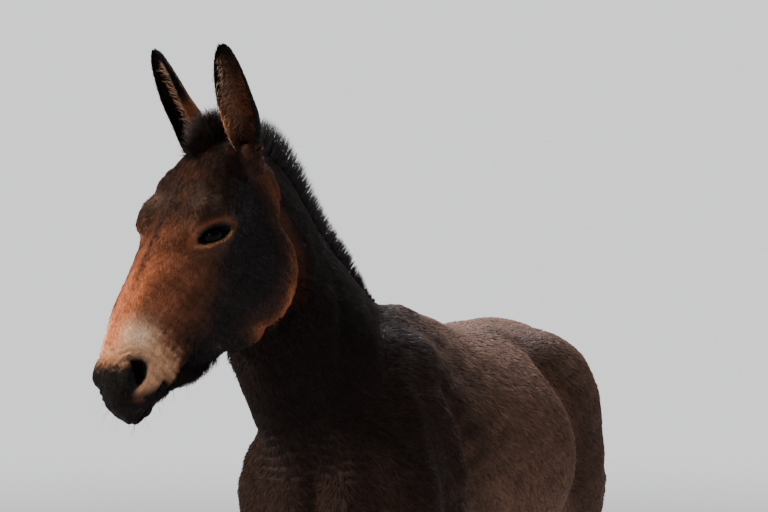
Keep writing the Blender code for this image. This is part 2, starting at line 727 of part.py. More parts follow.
def main():
    for old in list(bpy.data.objects):
        bpy.data.objects.remove(old)
    place = head_frame()
    forms = [*trunk_forms(), limb("neck", NECK)]
    for side in (1, -1):
        forms += [leg("fore", FORE_LEG[:5], side), leg("hind", HIND_LEG[:6], side)]
    mass = fused("mass", forms, MASS_VOXEL, 22)
    head = head_form()
    head.data.transform(place)
    forms = [mass, head, *head_features(place)]
    for side in (1, -1):
        forms += [leg("fore", FORE_LEG, side), leg("hind", HIND_LEG, side)]
    forms.append(limb("dock", TAIL_DOCK))
    skin = fused("skin", forms, SKIN_VOXEL, 6)
    fine = thinned("fine", skin, HEAD_SKIN_TRIANGLES)
    coarse = thinned("coarse", skin, BODY_SKIN_TRIANGLES)
    bpy.data.objects.remove(skin)

    # Body, parted by the plane cuts
    neck_cut, fore_cut, hind_cut = (behind(cut, 0) for cut in (NECK_CUT, FORE_CUT, HIND_CUT))
    torso = parted("torso", coarse, [behind(neck_cut, GAP), behind(TAIL_CUT, 0)], (0, 0.1, 0.9))
    legs = {}
    for side, word in ((1, "left"), (-1, "right")):
        for kind, cut, place_of_hoof in (("foreleg_", fore_cut, FORE_HOOF), ("hindleg_", hind_cut, HIND_HOOF)):
            name = kind + word
            x, y = place_of_hoof
            cuts = [behind(cut, GAP), turned_round(coronet_cut(y))]
            legs[name] = parted(name, coarse, cuts, (side * x, y + 0.05, 0.25))
    boxes = []
    for side in (1, -1):
        boxes.append(box_below("fore_box", fore_cut, (side * 0.02, side * 0.35), (-0.62, -0.05)))
        boxes.append(box_below("hind_box", hind_cut, (side * 0.02, side * 0.40), (0.27, 0.95)))
    torso = joined(torso, boxes, "DIFFERENCE")

    # Mane, forelock and tail
    hair = mane_locks(coarse)
    head_hair = [piece.copy() for piece in hair[:MANE_LOCKS_ON_HEAD]] + forelock_locks(fine, place)
    haired = joined(fine, head_hair, "UNION")
    cuts = [behind(cut, GAP) for cut in head_cuts(place)]
    head = parted("head", haired, cuts, place @ Vector((0, -0.05, 0.4)))
    maned = joined(coarse, hair, "UNION")
    neck = parted("neck", maned, [turned_round(neck_cut)], (-0.07, -0.5, 1.4))
    neck = joined(neck, [head_room(place)], "DIFFERENCE")
    whole_tail = joined(linked(limb("whole_tail", TAIL_CORE, steps=2, sides=14)), tail_locks(), "UNION")
    tail = parted("tail", whole_tail, [turned_round(behind(TAIL_CUT, -GAP))], (0, 0.9, 0.8))
    for spare in (haired, maned, whole_tail):
        bpy.data.objects.remove(spare)

    # Hooves
    pieces = {"head": head, "neck": neck, "torso": torso, "tail": tail, **legs}
    for side, word in ((1, "left"), (-1, "right")):
        for kind, x, y in (("fore", *FORE_HOOF), ("hind", *HIND_HOOF)):
            name = "hoof_" + kind + "_" + word
            pieces[name] = hoof(name, (side * x, y), behind(coronet_cut(y), GAP))

    # Eyes and the lids round them
    lids, sockets = [], []
    for side, word in ((1, "left"), (-1, "right")):
        lid = bulge("lids", (0, 0, 0), [(EYE_RADIUS + LID_THICKNESS) * k for k in (1.22, 1.06, 1.0)])
        lid.data.transform(eye_frame(side))
        lids.append(lid)
        socket = bulge("socket", (0, 0, 0), [EYE_RADIUS + GAP] * 3)
        socket.data.transform(eye_frame(side))
        sockets.append(socket)
        opening = prism("opening", almond(*EYE_OPENING), 0.0, 0.06)
        opening.data.transform(eye_frame(side))
        sockets.append(opening)
        name = "eye_" + word
        pieces[name] = linked(bulge(name, (0, 0, 0), [EYE_RADIUS] * 3))
        pieces[name].data.transform(place @ eye_frame(side))

    # Nostrils and the line of the mouth
    for side in (1, -1):
        sockets.append(bulge("nostril", (side * 0.055, -0.042, 0.531), (0.024, 0.0165, 0.027), (12, side * 20, 0)))
        sockets.append(bulge("nostril_slit", (side * 0.060, -0.030, 0.505), (0.016, 0.008, 0.020), (35, 0, 0)))
    sockets.append(mouth_line())
    for piece in lids + sockets:
        piece.data.transform(place)
    head = joined(head, lids, "UNION")

    # Ears, each on the flat top of a root that belongs to the head
    for side, word in ((1, "left"), (-1, "right")):
        name = "ear_" + word
        pieces[name] = linked(ear(name, side))
        pieces[name].data.transform(place)
        room = limb("ear_room", [(0, 0, -GAP, *[0.0275] * 3, 0, 0), (0, 0, 0.06, *[0.037] * 3, 0, 0)])
        room.data.transform(place @ ear_frame(side))
        sockets.append(room)
    pieces["head"] = joined(head, sockets, "DIFFERENCE")

    for name, piece in pieces.items():
        kind = name.split("_")[0].replace("foreleg", "leg").replace("hindleg", "leg")
        finish(piece, kind)
    centred(list(pieces.values()))


main()
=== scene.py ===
"""Looks of a mule at life size: one skin, a coat of short tufts, mane, forelock, tail, eyes and hooves.

Metres, +Z up. The mule faces -Y and its left side is towards +X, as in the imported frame.
"""

import math

import bmesh
import bpy
import numpy as np
from mathutils import Matrix, Vector
from mathutils.bvhtree import BVHTree


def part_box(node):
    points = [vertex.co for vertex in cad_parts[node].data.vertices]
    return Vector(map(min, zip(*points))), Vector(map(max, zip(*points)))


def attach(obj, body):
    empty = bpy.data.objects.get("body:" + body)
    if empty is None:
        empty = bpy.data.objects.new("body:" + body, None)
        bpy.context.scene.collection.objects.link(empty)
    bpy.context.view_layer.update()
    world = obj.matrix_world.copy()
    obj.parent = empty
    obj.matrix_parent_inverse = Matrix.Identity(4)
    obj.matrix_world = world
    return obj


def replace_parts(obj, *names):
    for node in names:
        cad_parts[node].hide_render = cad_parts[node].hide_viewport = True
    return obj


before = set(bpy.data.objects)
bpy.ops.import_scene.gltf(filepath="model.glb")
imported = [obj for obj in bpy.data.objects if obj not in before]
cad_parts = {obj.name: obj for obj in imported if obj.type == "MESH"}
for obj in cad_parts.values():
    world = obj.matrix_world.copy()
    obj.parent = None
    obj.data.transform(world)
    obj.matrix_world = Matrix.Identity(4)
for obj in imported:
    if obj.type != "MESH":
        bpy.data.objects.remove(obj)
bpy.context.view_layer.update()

# Where the head stands
# The head hangs from the poll, turned a little to the mule's right. All forms below are first modelled as if
# the mule stood 43 mm further forward, and brought home by the eyes' place in the frame.
POLL = Vector((-0.122, -0.800, 1.740))
HEAD_YAW = math.radians(20)
HEAD_PITCH = math.radians(59)
HEAD_ROLL = math.radians(2)
EYE_RADIUS = 0.030
EYE_PLACE = (0.0735, -0.064, 0.197)


def head_frame():
    """Matrix whose axes are the head's left side, the way out of its face and its length, from the poll."""
    forward = Vector((-math.sin(HEAD_YAW), -math.cos(HEAD_YAW), 0))
    up = Vector((0, 0, 1))
    length = math.cos(HEAD_PITCH) * forward - math.sin(HEAD_PITCH) * up
    face = math.sin(HEAD_PITCH) * forward + math.cos(HEAD_PITCH) * up
    turned = Matrix((face.cross(length), face, length)).transposed()
    roll = Matrix.Rotation(HEAD_ROLL, 3, forward)
    return Matrix.Translation(POLL) @ (roll @ turned).to_4x4()


def eye_frame(side):
    """Matrix in the head's frame at an eye: x to the muzzle, y down on the left, up on the right, z out."""
    out = Vector((side * 0.86, 0.46, 0.12)).normalized()
    along = Vector((0, 0.69, 0.72))
    along = (along - along.dot(out) * out).normalized()
    turned = Matrix((along, out.cross(along), out)).transposed()
    return Matrix.Translation((side * EYE_PLACE[0], *EYE_PLACE[1:])) @ turned.to_4x4()


place = head_frame()
eye_low, eye_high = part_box("eye_left")
MOVE = (eye_low + eye_high) / 2 - (place @ eye_frame(1)).translation


def home(piece):
    """The finished piece in the frame's place, riding on the one body."""
    piece.data.transform(Matrix.Translation(MOVE))
    for face in piece.data.polygons:
        face.use_smooth = True
    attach(piece, "root")
    return piece


# Skin
# One skin covers head, ears, neck, trunk, legs and dock, because a living hide has no seams. Forms of
# bone and muscle are lofted or blown up, fused and rounded: the body with a coarse mesh, the head and the
# upper neck with a fine one that is bridged to it. Lids, nostrils, mouth and ears are then worked into
# the head.
MASS_VOXEL = 0.013
BODY_VOXEL = 0.0102
HEAD_VOXEL = 0.0032
HEAD_TRIANGLES = 92000
NECK_JOIN = (Vector((-0.066, -0.490, 1.335)), Vector((-0.165, -0.680, 0.715)))
TRUNK = [
    # y, height of the line, half width, reach up, reach down, pinch up, pinch down
    (-0.50, 1.06, 0.080, 0.080, 0.110, 0.0, 0.0),
    (-0.46, 1.07, 0.140, 0.130, 0.190, 0.1, 0.1),
    (-0.37, 1.07, 0.200, 0.220, 0.270, 0.3, 0.2),
    (-0.25, 1.07, 0.215, 0.300, 0.310, 0.5, 0.2),
    (-0.14, 1.06, 0.235, 0.330, 0.315, 0.6, 0.2),
    (0.00, 1.04, 0.262, 0.318, 0.305, 0.4, 0.1),
    (0.14, 1.03, 0.290, 0.296, 0.305, 0.2, 0.05),
    (0.28, 1.02, 0.298, 0.304, 0.280, 0.15, 0.05),
    (0.40, 1.04, 0.250, 0.298, 0.245, 0.10, 0.1),
    (0.50, 1.07, 0.232, 0.264, 0.230, 0.10, 0.1),
    (0.62, 1.08, 0.216, 0.232, 0.200, 0.20, 0.1),
    (0.72, 1.08, 0.175, 0.185, 0.180, 0.25, 0.1),
    (0.79, 1.06, 0.100, 0.125, 0.140, 0.3, 0.1),
]
NECK = [
    (-0.112, -0.765, 1.640, 0.060, 0.090, 0.110, 0.2, 0.0),
    (-0.104, -0.700, 1.575, 0.075, 0.222, 0.120, 0.5, 0.1),
    (-0.092, -0.620, 1.485, 0.096, 0.262, 0.130, 0.6, 0.1),
    (-0.078, -0.535, 1.385, 0.114, 0.270, 0.165, 0.65, 0.1),
    (-0.055, -0.440, 1.285, 0.136, 0.270, 0.212, 0.65, 0.1),
    (-0.025, -0.330, 1.190, 0.158, 0.258, 0.255, 0.6, 0.1),
    (0.000, -0.210, 1.100, 0.175, 0.245, 0.255, 0.5, 0.1),
]
FORE_LEG = [
    # x, y, z, half width, reach behind, reach in front
    (0.142, -0.290, 0.930, 0.066, 0.120, 0.110),
    (0.140, -0.295, 0.830, 0.070, 0.120, 0.098),
    (0.132, -0.310, 0.740, 0.063, 0.088, 0.084),
    (0.123, -0.325, 0.640, 0.051, 0.065, 0.064),
    (0.117, -0.333, 0.540, 0.041, 0.048, 0.048),
    (0.114, -0.335, 0.470, 0.039, 0.042, 0.041),
    (0.112, -0.335, 0.420, 0.043, 0.045, 0.044),
    (0.111, -0.334, 0.375, 0.038, 0.044, 0.037),
    (0.110, -0.331, 0.330, 0.029, 0.036, 0.029),
    (0.110, -0.330, 0.250, 0.025, 0.033, 0.027),
    (0.110, -0.332, 0.200, 0.030, 0.038, 0.029),
    (0.110, -0.338, 0.168, 0.034, 0.042, 0.034),
    (0.110, -0.356, 0.130, 0.031, 0.031, 0.030),
    (0.110, -0.374, 0.092, 0.037, 0.035, 0.036),
    (0.110, -0.386, 0.040, 0.038, 0.036, 0.040),
]
HIND_LEG = [
    (0.152, 0.560, 0.980, 0.090, 0.215, 0.205),
    (0.152, 0.540, 0.880, 0.090, 0.200, 0.195),
    (0.148, 0.545, 0.800, 0.080, 0.160, 0.160),
    (0.140, 0.580, 0.720, 0.064, 0.115, 0.115),
    (0.130, 0.620, 0.640, 0.048, 0.080, 0.080),
    (0.124, 0.648, 0.590, 0.041, 0.070, 0.064),
    (0.120, 0.672, 0.545, 0.041, 0.066, 0.060),
    (0.118, 0.675, 0.490, 0.042, 0.051, 0.049),
    (0.116, 0.670, 0.430, 0.035, 0.040, 0.036),
    (0.115, 0.668, 0.360, 0.028, 0.032, 0.028),
    (0.115, 0.665, 0.260, 0.026, 0.031, 0.027),
    (0.115, 0.662, 0.205, 0.030, 0.037, 0.029),
    (0.115, 0.653, 0.170, 0.034, 0.041, 0.034),
    (0.115, 0.634, 0.132, 0.031, 0.031, 0.030),
    (0.115, 0.615, 0.094, 0.036, 0.035, 0.036),
    (0.115, 0.603, 0.040, 0.037, 0.036, 0.040),
]
TAIL_CORE = [
    (0.0, 0.700, 1.215, 0.050, 0.045, 0.045, 0, 0),
    (0.0, 0.780, 1.215, 0.041, 0.037, 0.039, 0, 0),
    (0.0, 0.830, 1.195, 0.034, 0.032, 0.034, 0, 0),
    (0.0, 0.885, 1.140, 0.029, 0.028, 0.029, 0, 0),
    (0.0, 0.916, 1.040, 0.026, 0.023, 0.023, 0, 0),
    (0.0, 0.922, 0.920, 0.022, 0.019, 0.019, 0, 0),
    (0.0, 0.918, 0.800, 0.014, 0.012, 0.012, 0, 0),
]
HEAD = [
    # length, top, bottom, half widths near the top, in the middle and near the bottom
    (-0.040, -0.045, -0.150, 0.035, 0.048, 0.040),
    (0.000, -0.006, -0.210, 0.055, 0.070, 0.052),
    (0.060, 0.007, -0.265, 0.090, 0.083, 0.062),
    (0.110, 0.013, -0.300, 0.104, 0.089, 0.066),
    (0.155, 0.016, -0.322, 0.110, 0.091, 0.068),
    (0.205, 0.017, -0.328, 0.098, 0.090, 0.066),
    (0.250, 0.020, -0.320, 0.083, 0.088, 0.060),
    (0.300, 0.024, -0.302, 0.072, 0.078, 0.052),
    (0.360, 0.029, -0.268, 0.064, 0.068, 0.044),
    (0.420, 0.029, -0.230, 0.056, 0.060, 0.038),
    (0.470, 0.022, -0.190, 0.048, 0.056, 0.036),
    (0.520, 0.008, -0.158, 0.042, 0.054, 0.034),
    (0.560, -0.014, -0.146, 0.036, 0.045, 0.028),
    (0.590, -0.042, -0.134, 0.024, 0.030, 0.018),
    (0.603, -0.070, -0.116, 0.008, 0.012, 0.008),
]
# The rear border of the jaw and the head's border with the neck: place along the head, how far back
JAW_BORDER = [
    (-0.100, 0.30),
    (-0.075, -0.03),
    (-0.060, -0.09),
    (-0.013, -0.165),
    (0.029, -0.238),
    (0.069, -0.304),
    (0.127, -0.334),
    (0.167, -0.347),
    (0.236, -0.346),
    (0.301, -0.316),
    (0.374, -0.260),
    (0.500, -0.200),
]
EAR_PLACE = (0.074, -0.080, -0.012)
EAR_LENGTH = 0.245
EAR_WALL = 0.0035
EYE_OPENING = (0.078, 0.0290)
EYE_OPENING_SHIFT = -0.004


def through(rows, steps):
    """Rows of numbers on a smooth curve through the given rows, this many steps from each to the next."""
    rows = np.array(rows, float)
    ends = np.vstack([2 * rows[0] - rows[1], rows, 2 * rows[-1] - rows[-2]])
    found = []
    for i in range(len(rows) - 1):
        a, b, c, d = ends[i : i + 4]
        for t in np.arange(steps) / steps:
            bend = 2 * a - 5 * b + 4 * c - d + t * (3 * b - a - 3 * c + d)
            found.append(b + 0.5 * t * (c - a + t * bend))
    found.append(rows[-1])
    return np.array(found)


def object_of(name, made):
    """A new object of a closed bmesh, its faces turned outwards."""
    bmesh.ops.recalc_face_normals(made, faces=made.faces)
    mesh = bpy.data.meshes.new(name)
    made.to_mesh(mesh)
    made.free()
    piece = bpy.data.objects.new(name, mesh)
    bpy.context.scene.collection.objects.link(piece)
    return piece


def lofted(name, rings):
    """A closed mesh object lofted through rings of points, with a flat cap at each end."""
    made = bmesh.new()
    loops = [[made.verts.new(point) for point in ring] for ring in rings]
    for one, other in zip(loops, loops[1:]):
        for i in range(len(one)):
            j = (i + 1) % len(one)
            made.faces.new((one[i], one[j], other[j], other[i]))
    made.faces.new(loops[0][::-1])
    made.faces.new(loops[-1])
    return object_of(name, made)


def limb(name, stations, side=(1, 0, 0), steps=4, sides=28):
    """A form along a curved line. A station is x, y, z, half the width, the reach above the line (behind it,
    on a leg), the reach below (in front), and how pinched each of those is."""
    rows = through(stations, steps)
    along = np.gradient(rows[:, :3], axis=0)
    along /= np.linalg.norm(along, axis=1)[:, None]
    turn = np.linspace(0, 2 * math.pi, sides, endpoint=False)
    across, rise = np.sin(turn), np.cos(turn)
    rings = []
    for row, ahead in zip(rows, along):
        wide = np.array(side) - ahead * (np.array(side) @ ahead)
        wide /= np.linalg.norm(wide)
        over = np.cross(wide, ahead)
        half, above, below, pinch_above, pinch_below = row[3:]
        pinch = np.where(rise > 0, pinch_above, pinch_below) * rise**2
        reach = np.where(rise > 0, above, below) * rise
        ring = row[:3] + np.outer(half * across * (1 - pinch), wide) + np.outer(reach, over)
        rings.append(ring.tolist())
    return lofted(name, rings)


def bulge(centre, radii, lean=(0, 0, 0), fine=1):
    """An ellipsoid of muscle or bone, leant by three angles in degrees."""
    bpy.ops.object.select_all(action="DESELECT")
    bpy.ops.mesh.primitive_uv_sphere_add(segments=24 * fine, ring_count=16 * fine, radius=1)
    piece = bpy.context.object
    turn = Matrix.Rotation(math.radians(lean[2]), 4, "Z")
    turn = turn @ Matrix.Rotation(math.radians(lean[1]), 4, "Y")
    turn = turn @ Matrix.Rotation(math.radians(lean[0]), 4, "X")
    piece.data.transform(Matrix.Translation(centre) @ turn @ Matrix.Diagonal((*radii, 1)))
    return piece


def both_sides(centre, radii, lean=(0, 0, 0)):
    """A bulge on the left side and the same on the right."""
    x, y, z = centre
    return [bulge(centre, radii, lean), bulge((-x, y, z), radii, (lean[0], -lean[1], -lean[2]))]


def gathered(name, pieces):
    """The pieces as one object."""
    bpy.ops.object.select_all(action="DESELECT")
    for piece in pieces:
        piece.select_set(True)
    bpy.context.view_layer.objects.active = pieces[0]
    bpy.ops.object.join()
    pieces[0].name = name
    return pieces[0]


def applied(piece, kind, **settings):
    """The piece after one modifier with these settings."""
    bpy.ops.object.select_all(action="DESELECT")
    piece.select_set(True)
    bpy.context.view_layer.objects.active = piece
    change = piece.modifiers.new(kind.lower(), kind)
    for key, value in settings.items():
        setattr(change, key, value)
    bpy.ops.object.modifier_apply(modifier=change.name)
    return piece


def fused(name, pieces, voxel, rounding):
    """One closed skin round all the pieces, with the joins between them rounded."""
    body = gathered(name, pieces)
    applied(body, "REMESH", mode="VOXEL", voxel_size=voxel)
    return applied(body, "SMOOTH", factor=0.5, iterations=rounding)


def copied(piece):
    """A second piece with a mesh of its own."""
    copy = bpy.data.objects.new(piece.name, piece.data.copy())
    bpy.context.scene.collection.objects.link(copy)
    return copy


def worked(body, pieces, operation):
    """The body with the pieces joined to it or cut out of it, by one Boolean on a collection of them."""
    tools = bpy.data.collections.new("tools")
    bpy.context.scene.collection.children.link(tools)
    for piece in pieces:
        tools.objects.link(piece)
    settings = {"operand_type": "COLLECTION", "collection": tools, "solver": "MANIFOLD"}
    applied(body, "BOOLEAN", operation=operation, **settings)
    for piece in pieces:
        bpy.data.objects.remove(piece)
    bpy.data.collections.remove(tools)
    return body


def kept(piece, point, facing, closed):
    """The piece without what lies before a plane, with or without a cap there."""
    mesh = bmesh.new()
    mesh.from_mesh(piece.data)
    geometry = [*mesh.verts, *mesh.edges, *mesh.faces]
    bmesh.ops.bisect_plane(mesh, geom=geometry, plane_co=point, plane_no=facing, clear_outer=True)
    if closed:
        bmesh.ops.holes_fill(mesh, edges=[edge for edge in mesh.edges if edge.is_boundary])
    mesh.to_mesh(piece.data)
    mesh.free()
    return piece


def leg(stations, side):
    """A leg on side +1 (left) or -1."""
    return limb("leg", [(side * x, y, z, *rest, 0, 0) for x, y, z, *rest in stations])


MUSCLES = [
    # centre, half sizes and lean in degrees of the form on the left side, which the right one mirrors
    ((0.130, -0.250, 1.130), (0.075, 0.110, 0.220), (-24, -14, 0)),
    ((0.160, -0.210, 0.980), (0.072, 0.120, 0.180), (-30, 0, 0)),
    ((0.142, -0.375, 0.975), (0.098, 0.098, 0.165), (14, -4, 0)),
    ((0.060, -0.450, 0.960), (0.075, 0.060, 0.130), (12, 0, 0)),
    ((0.125, 0.500, 1.120), (0.130, 0.230, 0.180), (-12, -8, 0)),
    ((0.180, 0.375, 1.160), (0.040, 0.060, 0.050), (0, -25, 0)),
    ((0.150, 0.540, 0.990), (0.105, 0.180, 0.250), (10, 0, 0)),
    ((0.090, 0.700, 1.030), (0.080, 0.095, 0.170), (6, 0, 0)),
    ((0.170, 0.410, 0.880), (0.070, 0.080, 0.120), (-15, 0, 0)),
    ((0.125, 0.665, 0.840), (0.060, 0.075, 0.130), (-8, 0, 0)),
]


def skull():
    """The head's mass in its own frame: x to the left, y out of the face, z from the poll to the lips."""
    rings = []
    for z, top, bottom, near_top, middle, near_bottom in through(HEAD, 4):
        deep = bottom - top
        half = [
            (0, top),
            (near_top, top + 0.12 * deep),
            (middle, top + 0.45 * deep),
            (near_bottom, top + 0.84 * deep),
            (0, bottom),
        ]
        ring = half + [(-x, y) for x, y in half[-2:0:-1]]
        smooth = through(np.array(ring[-1:] + ring + ring[:2], float), 4)[4:-8]
        rings.append([(x, y, z) for x, y in smooth])
    return lofted("skull", rings)


def ear_frame(side):
    """Matrix in the head's frame of one ear: x across it, y out of its opening, z along it from its base."""
    along = Vector((side * 0.13, 0.865, -0.58)).normalized()
    forward = Vector((0, math.sin(HEAD_PITCH), math.cos(HEAD_PITCH)))
    swing = math.radians(22 if side > 0 else 11)
    opening = math.cos(swing) * forward + Vector((side * math.sin(swing), 0, 0))
    opening = (opening - opening.dot(along) * along).normalized()
    turned = Matrix((opening.cross(along), opening, along)).transposed()
    return Matrix.Translation((side * EAR_PLACE[0], *EAR_PLACE[1:])) @ turned.to_4x4()


HEAD_FORMS = [
    # brow, temple, cheek, jaw, crest of the cheek, parotid, nostril wing and lips, as for the muscles
    ((0.074, -0.014, 0.168), (0.032, 0.021, 0.050)),
    ((0.052, -0.018, 0.112), (0.036, 0.023, 0.062)),
    ((0.062, -0.218, 0.185), (0.030, 0.122, 0.120)),
    ((0.050, -0.220, 0.262), (0.024, 0.092, 0.108)),
    ((0.064, -0.078, 0.290), (0.017, 0.014, 0.075), (-8, -10, 0)),
    ((0.049, -0.168, 0.062), (0.030, 0.064, 0.100), (20, 0, 0)),
    ((0.040, -0.042, 0.522), (0.025, 0.033, 0.042), (-10, 0, 0)),
    ((0.026, -0.080, 0.546), (0.029, 0.040, 0.044)),
]


def head_features():
    """Brow ridges, cheeks, nostril wings, lips, chin, lids and ear roots, in the head's frame."""
    forms = [form for row in HEAD_FORMS for form in both_sides(*row)]
    forms.append(bulge((0, -0.149, 0.500), (0.025, 0.016, 0.032)))
    forms.append(bulge((0, -0.132, 0.558), (0.024, 0.016, 0.022)))
    for side in (1, -1):
        root = [(0, 0, -0.045, 0.026), (0, 0, 0.000, 0.026), (0, -0.006, 0.020, 0.018)]
        forms.append(limb("ear_root", [(x, y, z, half, half, half, 0, 0) for x, y, z, half in root]))
        forms[-1].data.transform(ear_frame(side))
        lid = bulge((0, 0, 0), [(EYE_RADIUS + 0.0040) * k for k in (1.22, 1.06, 1.0)])
        lid.data.transform(eye_frame(side))
        forms.append(lid)
    return forms


def ear_cup(side):
    """One ear in the head's frame: a cup of gristle with a rim, open to the front, narrowing to its tip."""
    # share of the length, half width, depth, wrap in degrees, how far the tip curls forward
    stations = [
        (-0.06, 0.022, 0.022, 150, 0.000),
        (0.00, 0.026, 0.026, 140, 0.000),
        (0.14, 0.032, 0.034, 126, 0.000),
        (0.32, 0.038, 0.039, 108, 0.000),
        (0.52, 0.038, 0.036, 98, 0.006),
        (0.70, 0.034, 0.031, 92, 0.006),
        (0.84, 0.027, 0.025, 88, 0.004),
        (0.94, 0.019, 0.018, 86, 0.001),
        (0.985, 0.012, 0.011, 84, -0.001),
        (1.00, 0.005, 0.006, 82, -0.002),
    ]
    rings = []
    for share, half, deep, wrap, curl in through(stations, 5):
        turn = np.radians(np.linspace(-wrap, wrap, 25))
        thin = min(EAR_WALL, 0.4 * min(half, deep))
        outer = [(half * math.sin(t), curl - deep * math.cos(t)) for t in turn]
        inner = [((half - thin) * math.sin(t), curl - (deep - thin) * math.cos(t)) for t in turn]
        rings.append([(x, y, share * EAR_LENGTH) for x, y in outer + inner[::-1]])
    cup = lofted("ear_cup", rings)
    cup.data.transform(ear_frame(side))
    return cup


def ear_half(share):
    """The half width of an ear at a share of its length."""
    halves = (0.026, 0.032, 0.038, 0.038, 0.034, 0.027, 0.019, 0.005)
    return np.interp(share, (0, 0.14, 0.32, 0.52, 0.7, 0.84, 0.94, 1), halves)


def lid_reach(side, y):
    """How far the opening between the lids reaches from its middle: more above it than below."""
    return EYE_OPENING[1] * np.where(side * np.asarray(y) < 0, 0.58, 0.42)


def almond(side, turns):
    """Points on the outline of the opening between the lids, at angles round it."""
    shape = []
    for t in turns:
        arch = max(0.0, 1 - math.cos(t) ** 2) ** 0.72
        y = float(lid_reach(side, math.sin(t))) * math.copysign(arch, math.sin(t))
        shape.append((EYE_OPENING_SHIFT + 0.5 * EYE_OPENING[0] * math.cos(t), y))
    return shape


def lid_rim(side):
    """The rounded margins of both lids, a thin ring that lies on the eyeball, in the head's frame."""
    steps, sides = 48, 8
    path = almond(side, np.linspace(0, 2 * math.pi, steps, endpoint=False))
    centre_line = []
    for x, y in path:
        lift = max((EYE_RADIUS + 0.0008) ** 2 - x * x - y * y, (0.30 * EYE_RADIUS) ** 2)
        centre_line.append(Vector((x, y, math.sqrt(lift))))
    made = bmesh.new()
    loops = []
    for i, spot in enumerate(centre_line):
        ahead = (centre_line[(i + 1) % steps] - centre_line[i - 1]).normalized()
        out = spot.normalized()
        across = ahead.cross(out).normalized()
        thick = 0.0029 if side * spot.y < 0 else 0.0021
        round_it = np.linspace(0, 2 * math.pi, sides, endpoint=False)
        ring = [spot + (across * math.cos(t) + out * math.sin(t)) * thick for t in round_it]
        loops.append([made.verts.new(point) for point in ring])
    for i in range(steps):
        one, other = loops[i], loops[(i + 1) % steps]
        for j in range(sides):
            k = (j + 1) % sides
            made.faces.new((one[j], one[k], other[k], other[j]))
    rim = object_of("lid_rim", made)
    rim.data.transform(eye_frame(side))
    return rim


def lid_fold(side):
    """The fold of skin over the upper lid, in the head's frame."""
    rows = []
    for t in np.linspace(0.12, 0.88, 9) * math.pi:
        x, y = 0.040 * math.cos(t), -side * (0.006 + 0.019 * math.sin(t))
        thick = 0.0012 + 0.0030 * math.sin(t)
        z = math.sqrt(max(0.0375**2 - x * x - y * y, 0.016**2)) - 0.001
        rows.append((x, y, z, thick, thick, thick, 0, 0))
    fold = limb("lid_fold", rows, side=(0, 0, 1), sides=10)
    fold.data.transform(eye_frame(side))
    return fold


def mouth_slit():
    """A thin curved blade between the lips, from one corner round the front to the other."""
    rings = []
    for t in np.linspace(-1, 1, 33):
        bend = math.cos(t * math.pi / 2)
        x = 0.075 * math.sin(t * math.pi / 2)
        z = 0.500 + 0.125 * max(bend, 0.0) ** 0.8
        y = float(mouth_depth(z))
        rings.append([
            (0.30 * x, y, z - 0.035 * bend - 0.004),
            (x, y - 0.0042, z),
            (x * 1.02, y + 0.0042, z + 0.001),
        ])
    return lofted("mouth_slit", rings)


def head_cutters():
    """What is cut out of the head: eye sockets, the openings between the lids, nostrils and mouth."""
    cutters = [mouth_slit()]
    for side in (1, -1):
        socket = bulge((0, 0, 0), [EYE_RADIUS + 0.0003] * 3, fine=2)
        opening = almond(side, np.linspace(0, 2 * math.pi, 40, endpoint=False))
        gap = lofted("gap", [[(x, y, z) for x, y in opening] for z in (0.018, 0.06)])
        for piece in (socket, gap):
            piece.data.transform(eye_frame(side))
        nostril = bulge((side * 0.053, -0.037, 0.525), (0.024, 0.0130, 0.025), (38, side * 20, 0))
        slit = bulge((side * 0.054, -0.019, 0.506), (0.018, 0.0065, 0.015), (62, 0, 0))
        cutters += [socket, gap, nostril, slit]
    return cutters


def bridged(name, upper, lower):
    """Two open skins joined by a band of faces between their rims."""
    skin = gathered(name, [upper, lower])
    mesh = bmesh.new()
    mesh.from_mesh(skin.data)
    rims = [edge for edge in mesh.edges if edge.is_boundary]
    bmesh.ops.bridge_loops(mesh, edges=rims)
    bmesh.ops.triangulate(mesh, faces=mesh.faces)
    bmesh.ops.recalc_face_normals(mesh, faces=mesh.faces)
    mesh.to_mesh(skin.data)
    mesh.free()
    return skin


def spots_of(piece):
    """The mesh points of a piece as rows of numbers."""
    spots = np.empty(len(piece.data.vertices) * 3)
    piece.data.vertices.foreach_get("co", spots)
    return spots.reshape(-1, 3)


def outs_of(piece):
    """The outward direction at each mesh point of a piece."""
    outs = np.empty(len(piece.data.vertices) * 3)
    piece.data.vertices.foreach_get("normal", outs)
    return outs.reshape(-1, 3)


def seen_from(matrix, spots):
    """Points in the axes of a matrix."""
    turned = np.array(matrix.inverted())
    return spots @ turned[:3, :3].T + turned[:3, 3]


def ramp(value, low, high):
    """A smooth step from 0 at low to 1 at high."""
    share = np.clip((value - low) / (high - low), 0, 1)
    return share * share * (3 - 2 * share)


def span(value, low, start, end, high):
    """A smooth step up from low to start, and down again from end to high."""
    return ramp(value, low, start) * (1 - ramp(value, end, high))


def peak(value, width):
    """A soft ridge: 1 where the value is 0, fading out over the width on both sides."""
    return np.exp(-((value / width) ** 2))


def blob(spots, centre, radii):
    """A soft round mask that is 1 at its centre and fades out at its radii."""
    reach = (((spots - np.array(centre)) / np.array(radii)) ** 2).sum(axis=1)
    return np.exp(-1.2 * reach)


def ripple(spots, length, seed):
    """A smooth random pattern from -1 to 1 whose waves are about this long."""
    draw = np.random.default_rng(seed)
    total = np.zeros(len(spots))
    for _ in range(7):
        way = draw.normal(size=3)
        way *= 2 * math.pi / (np.linalg.norm(way) * length * draw.uniform(0.7, 1.5))
        total += np.sin(spots @ way + draw.uniform(0, 6.3))
    return total / 3


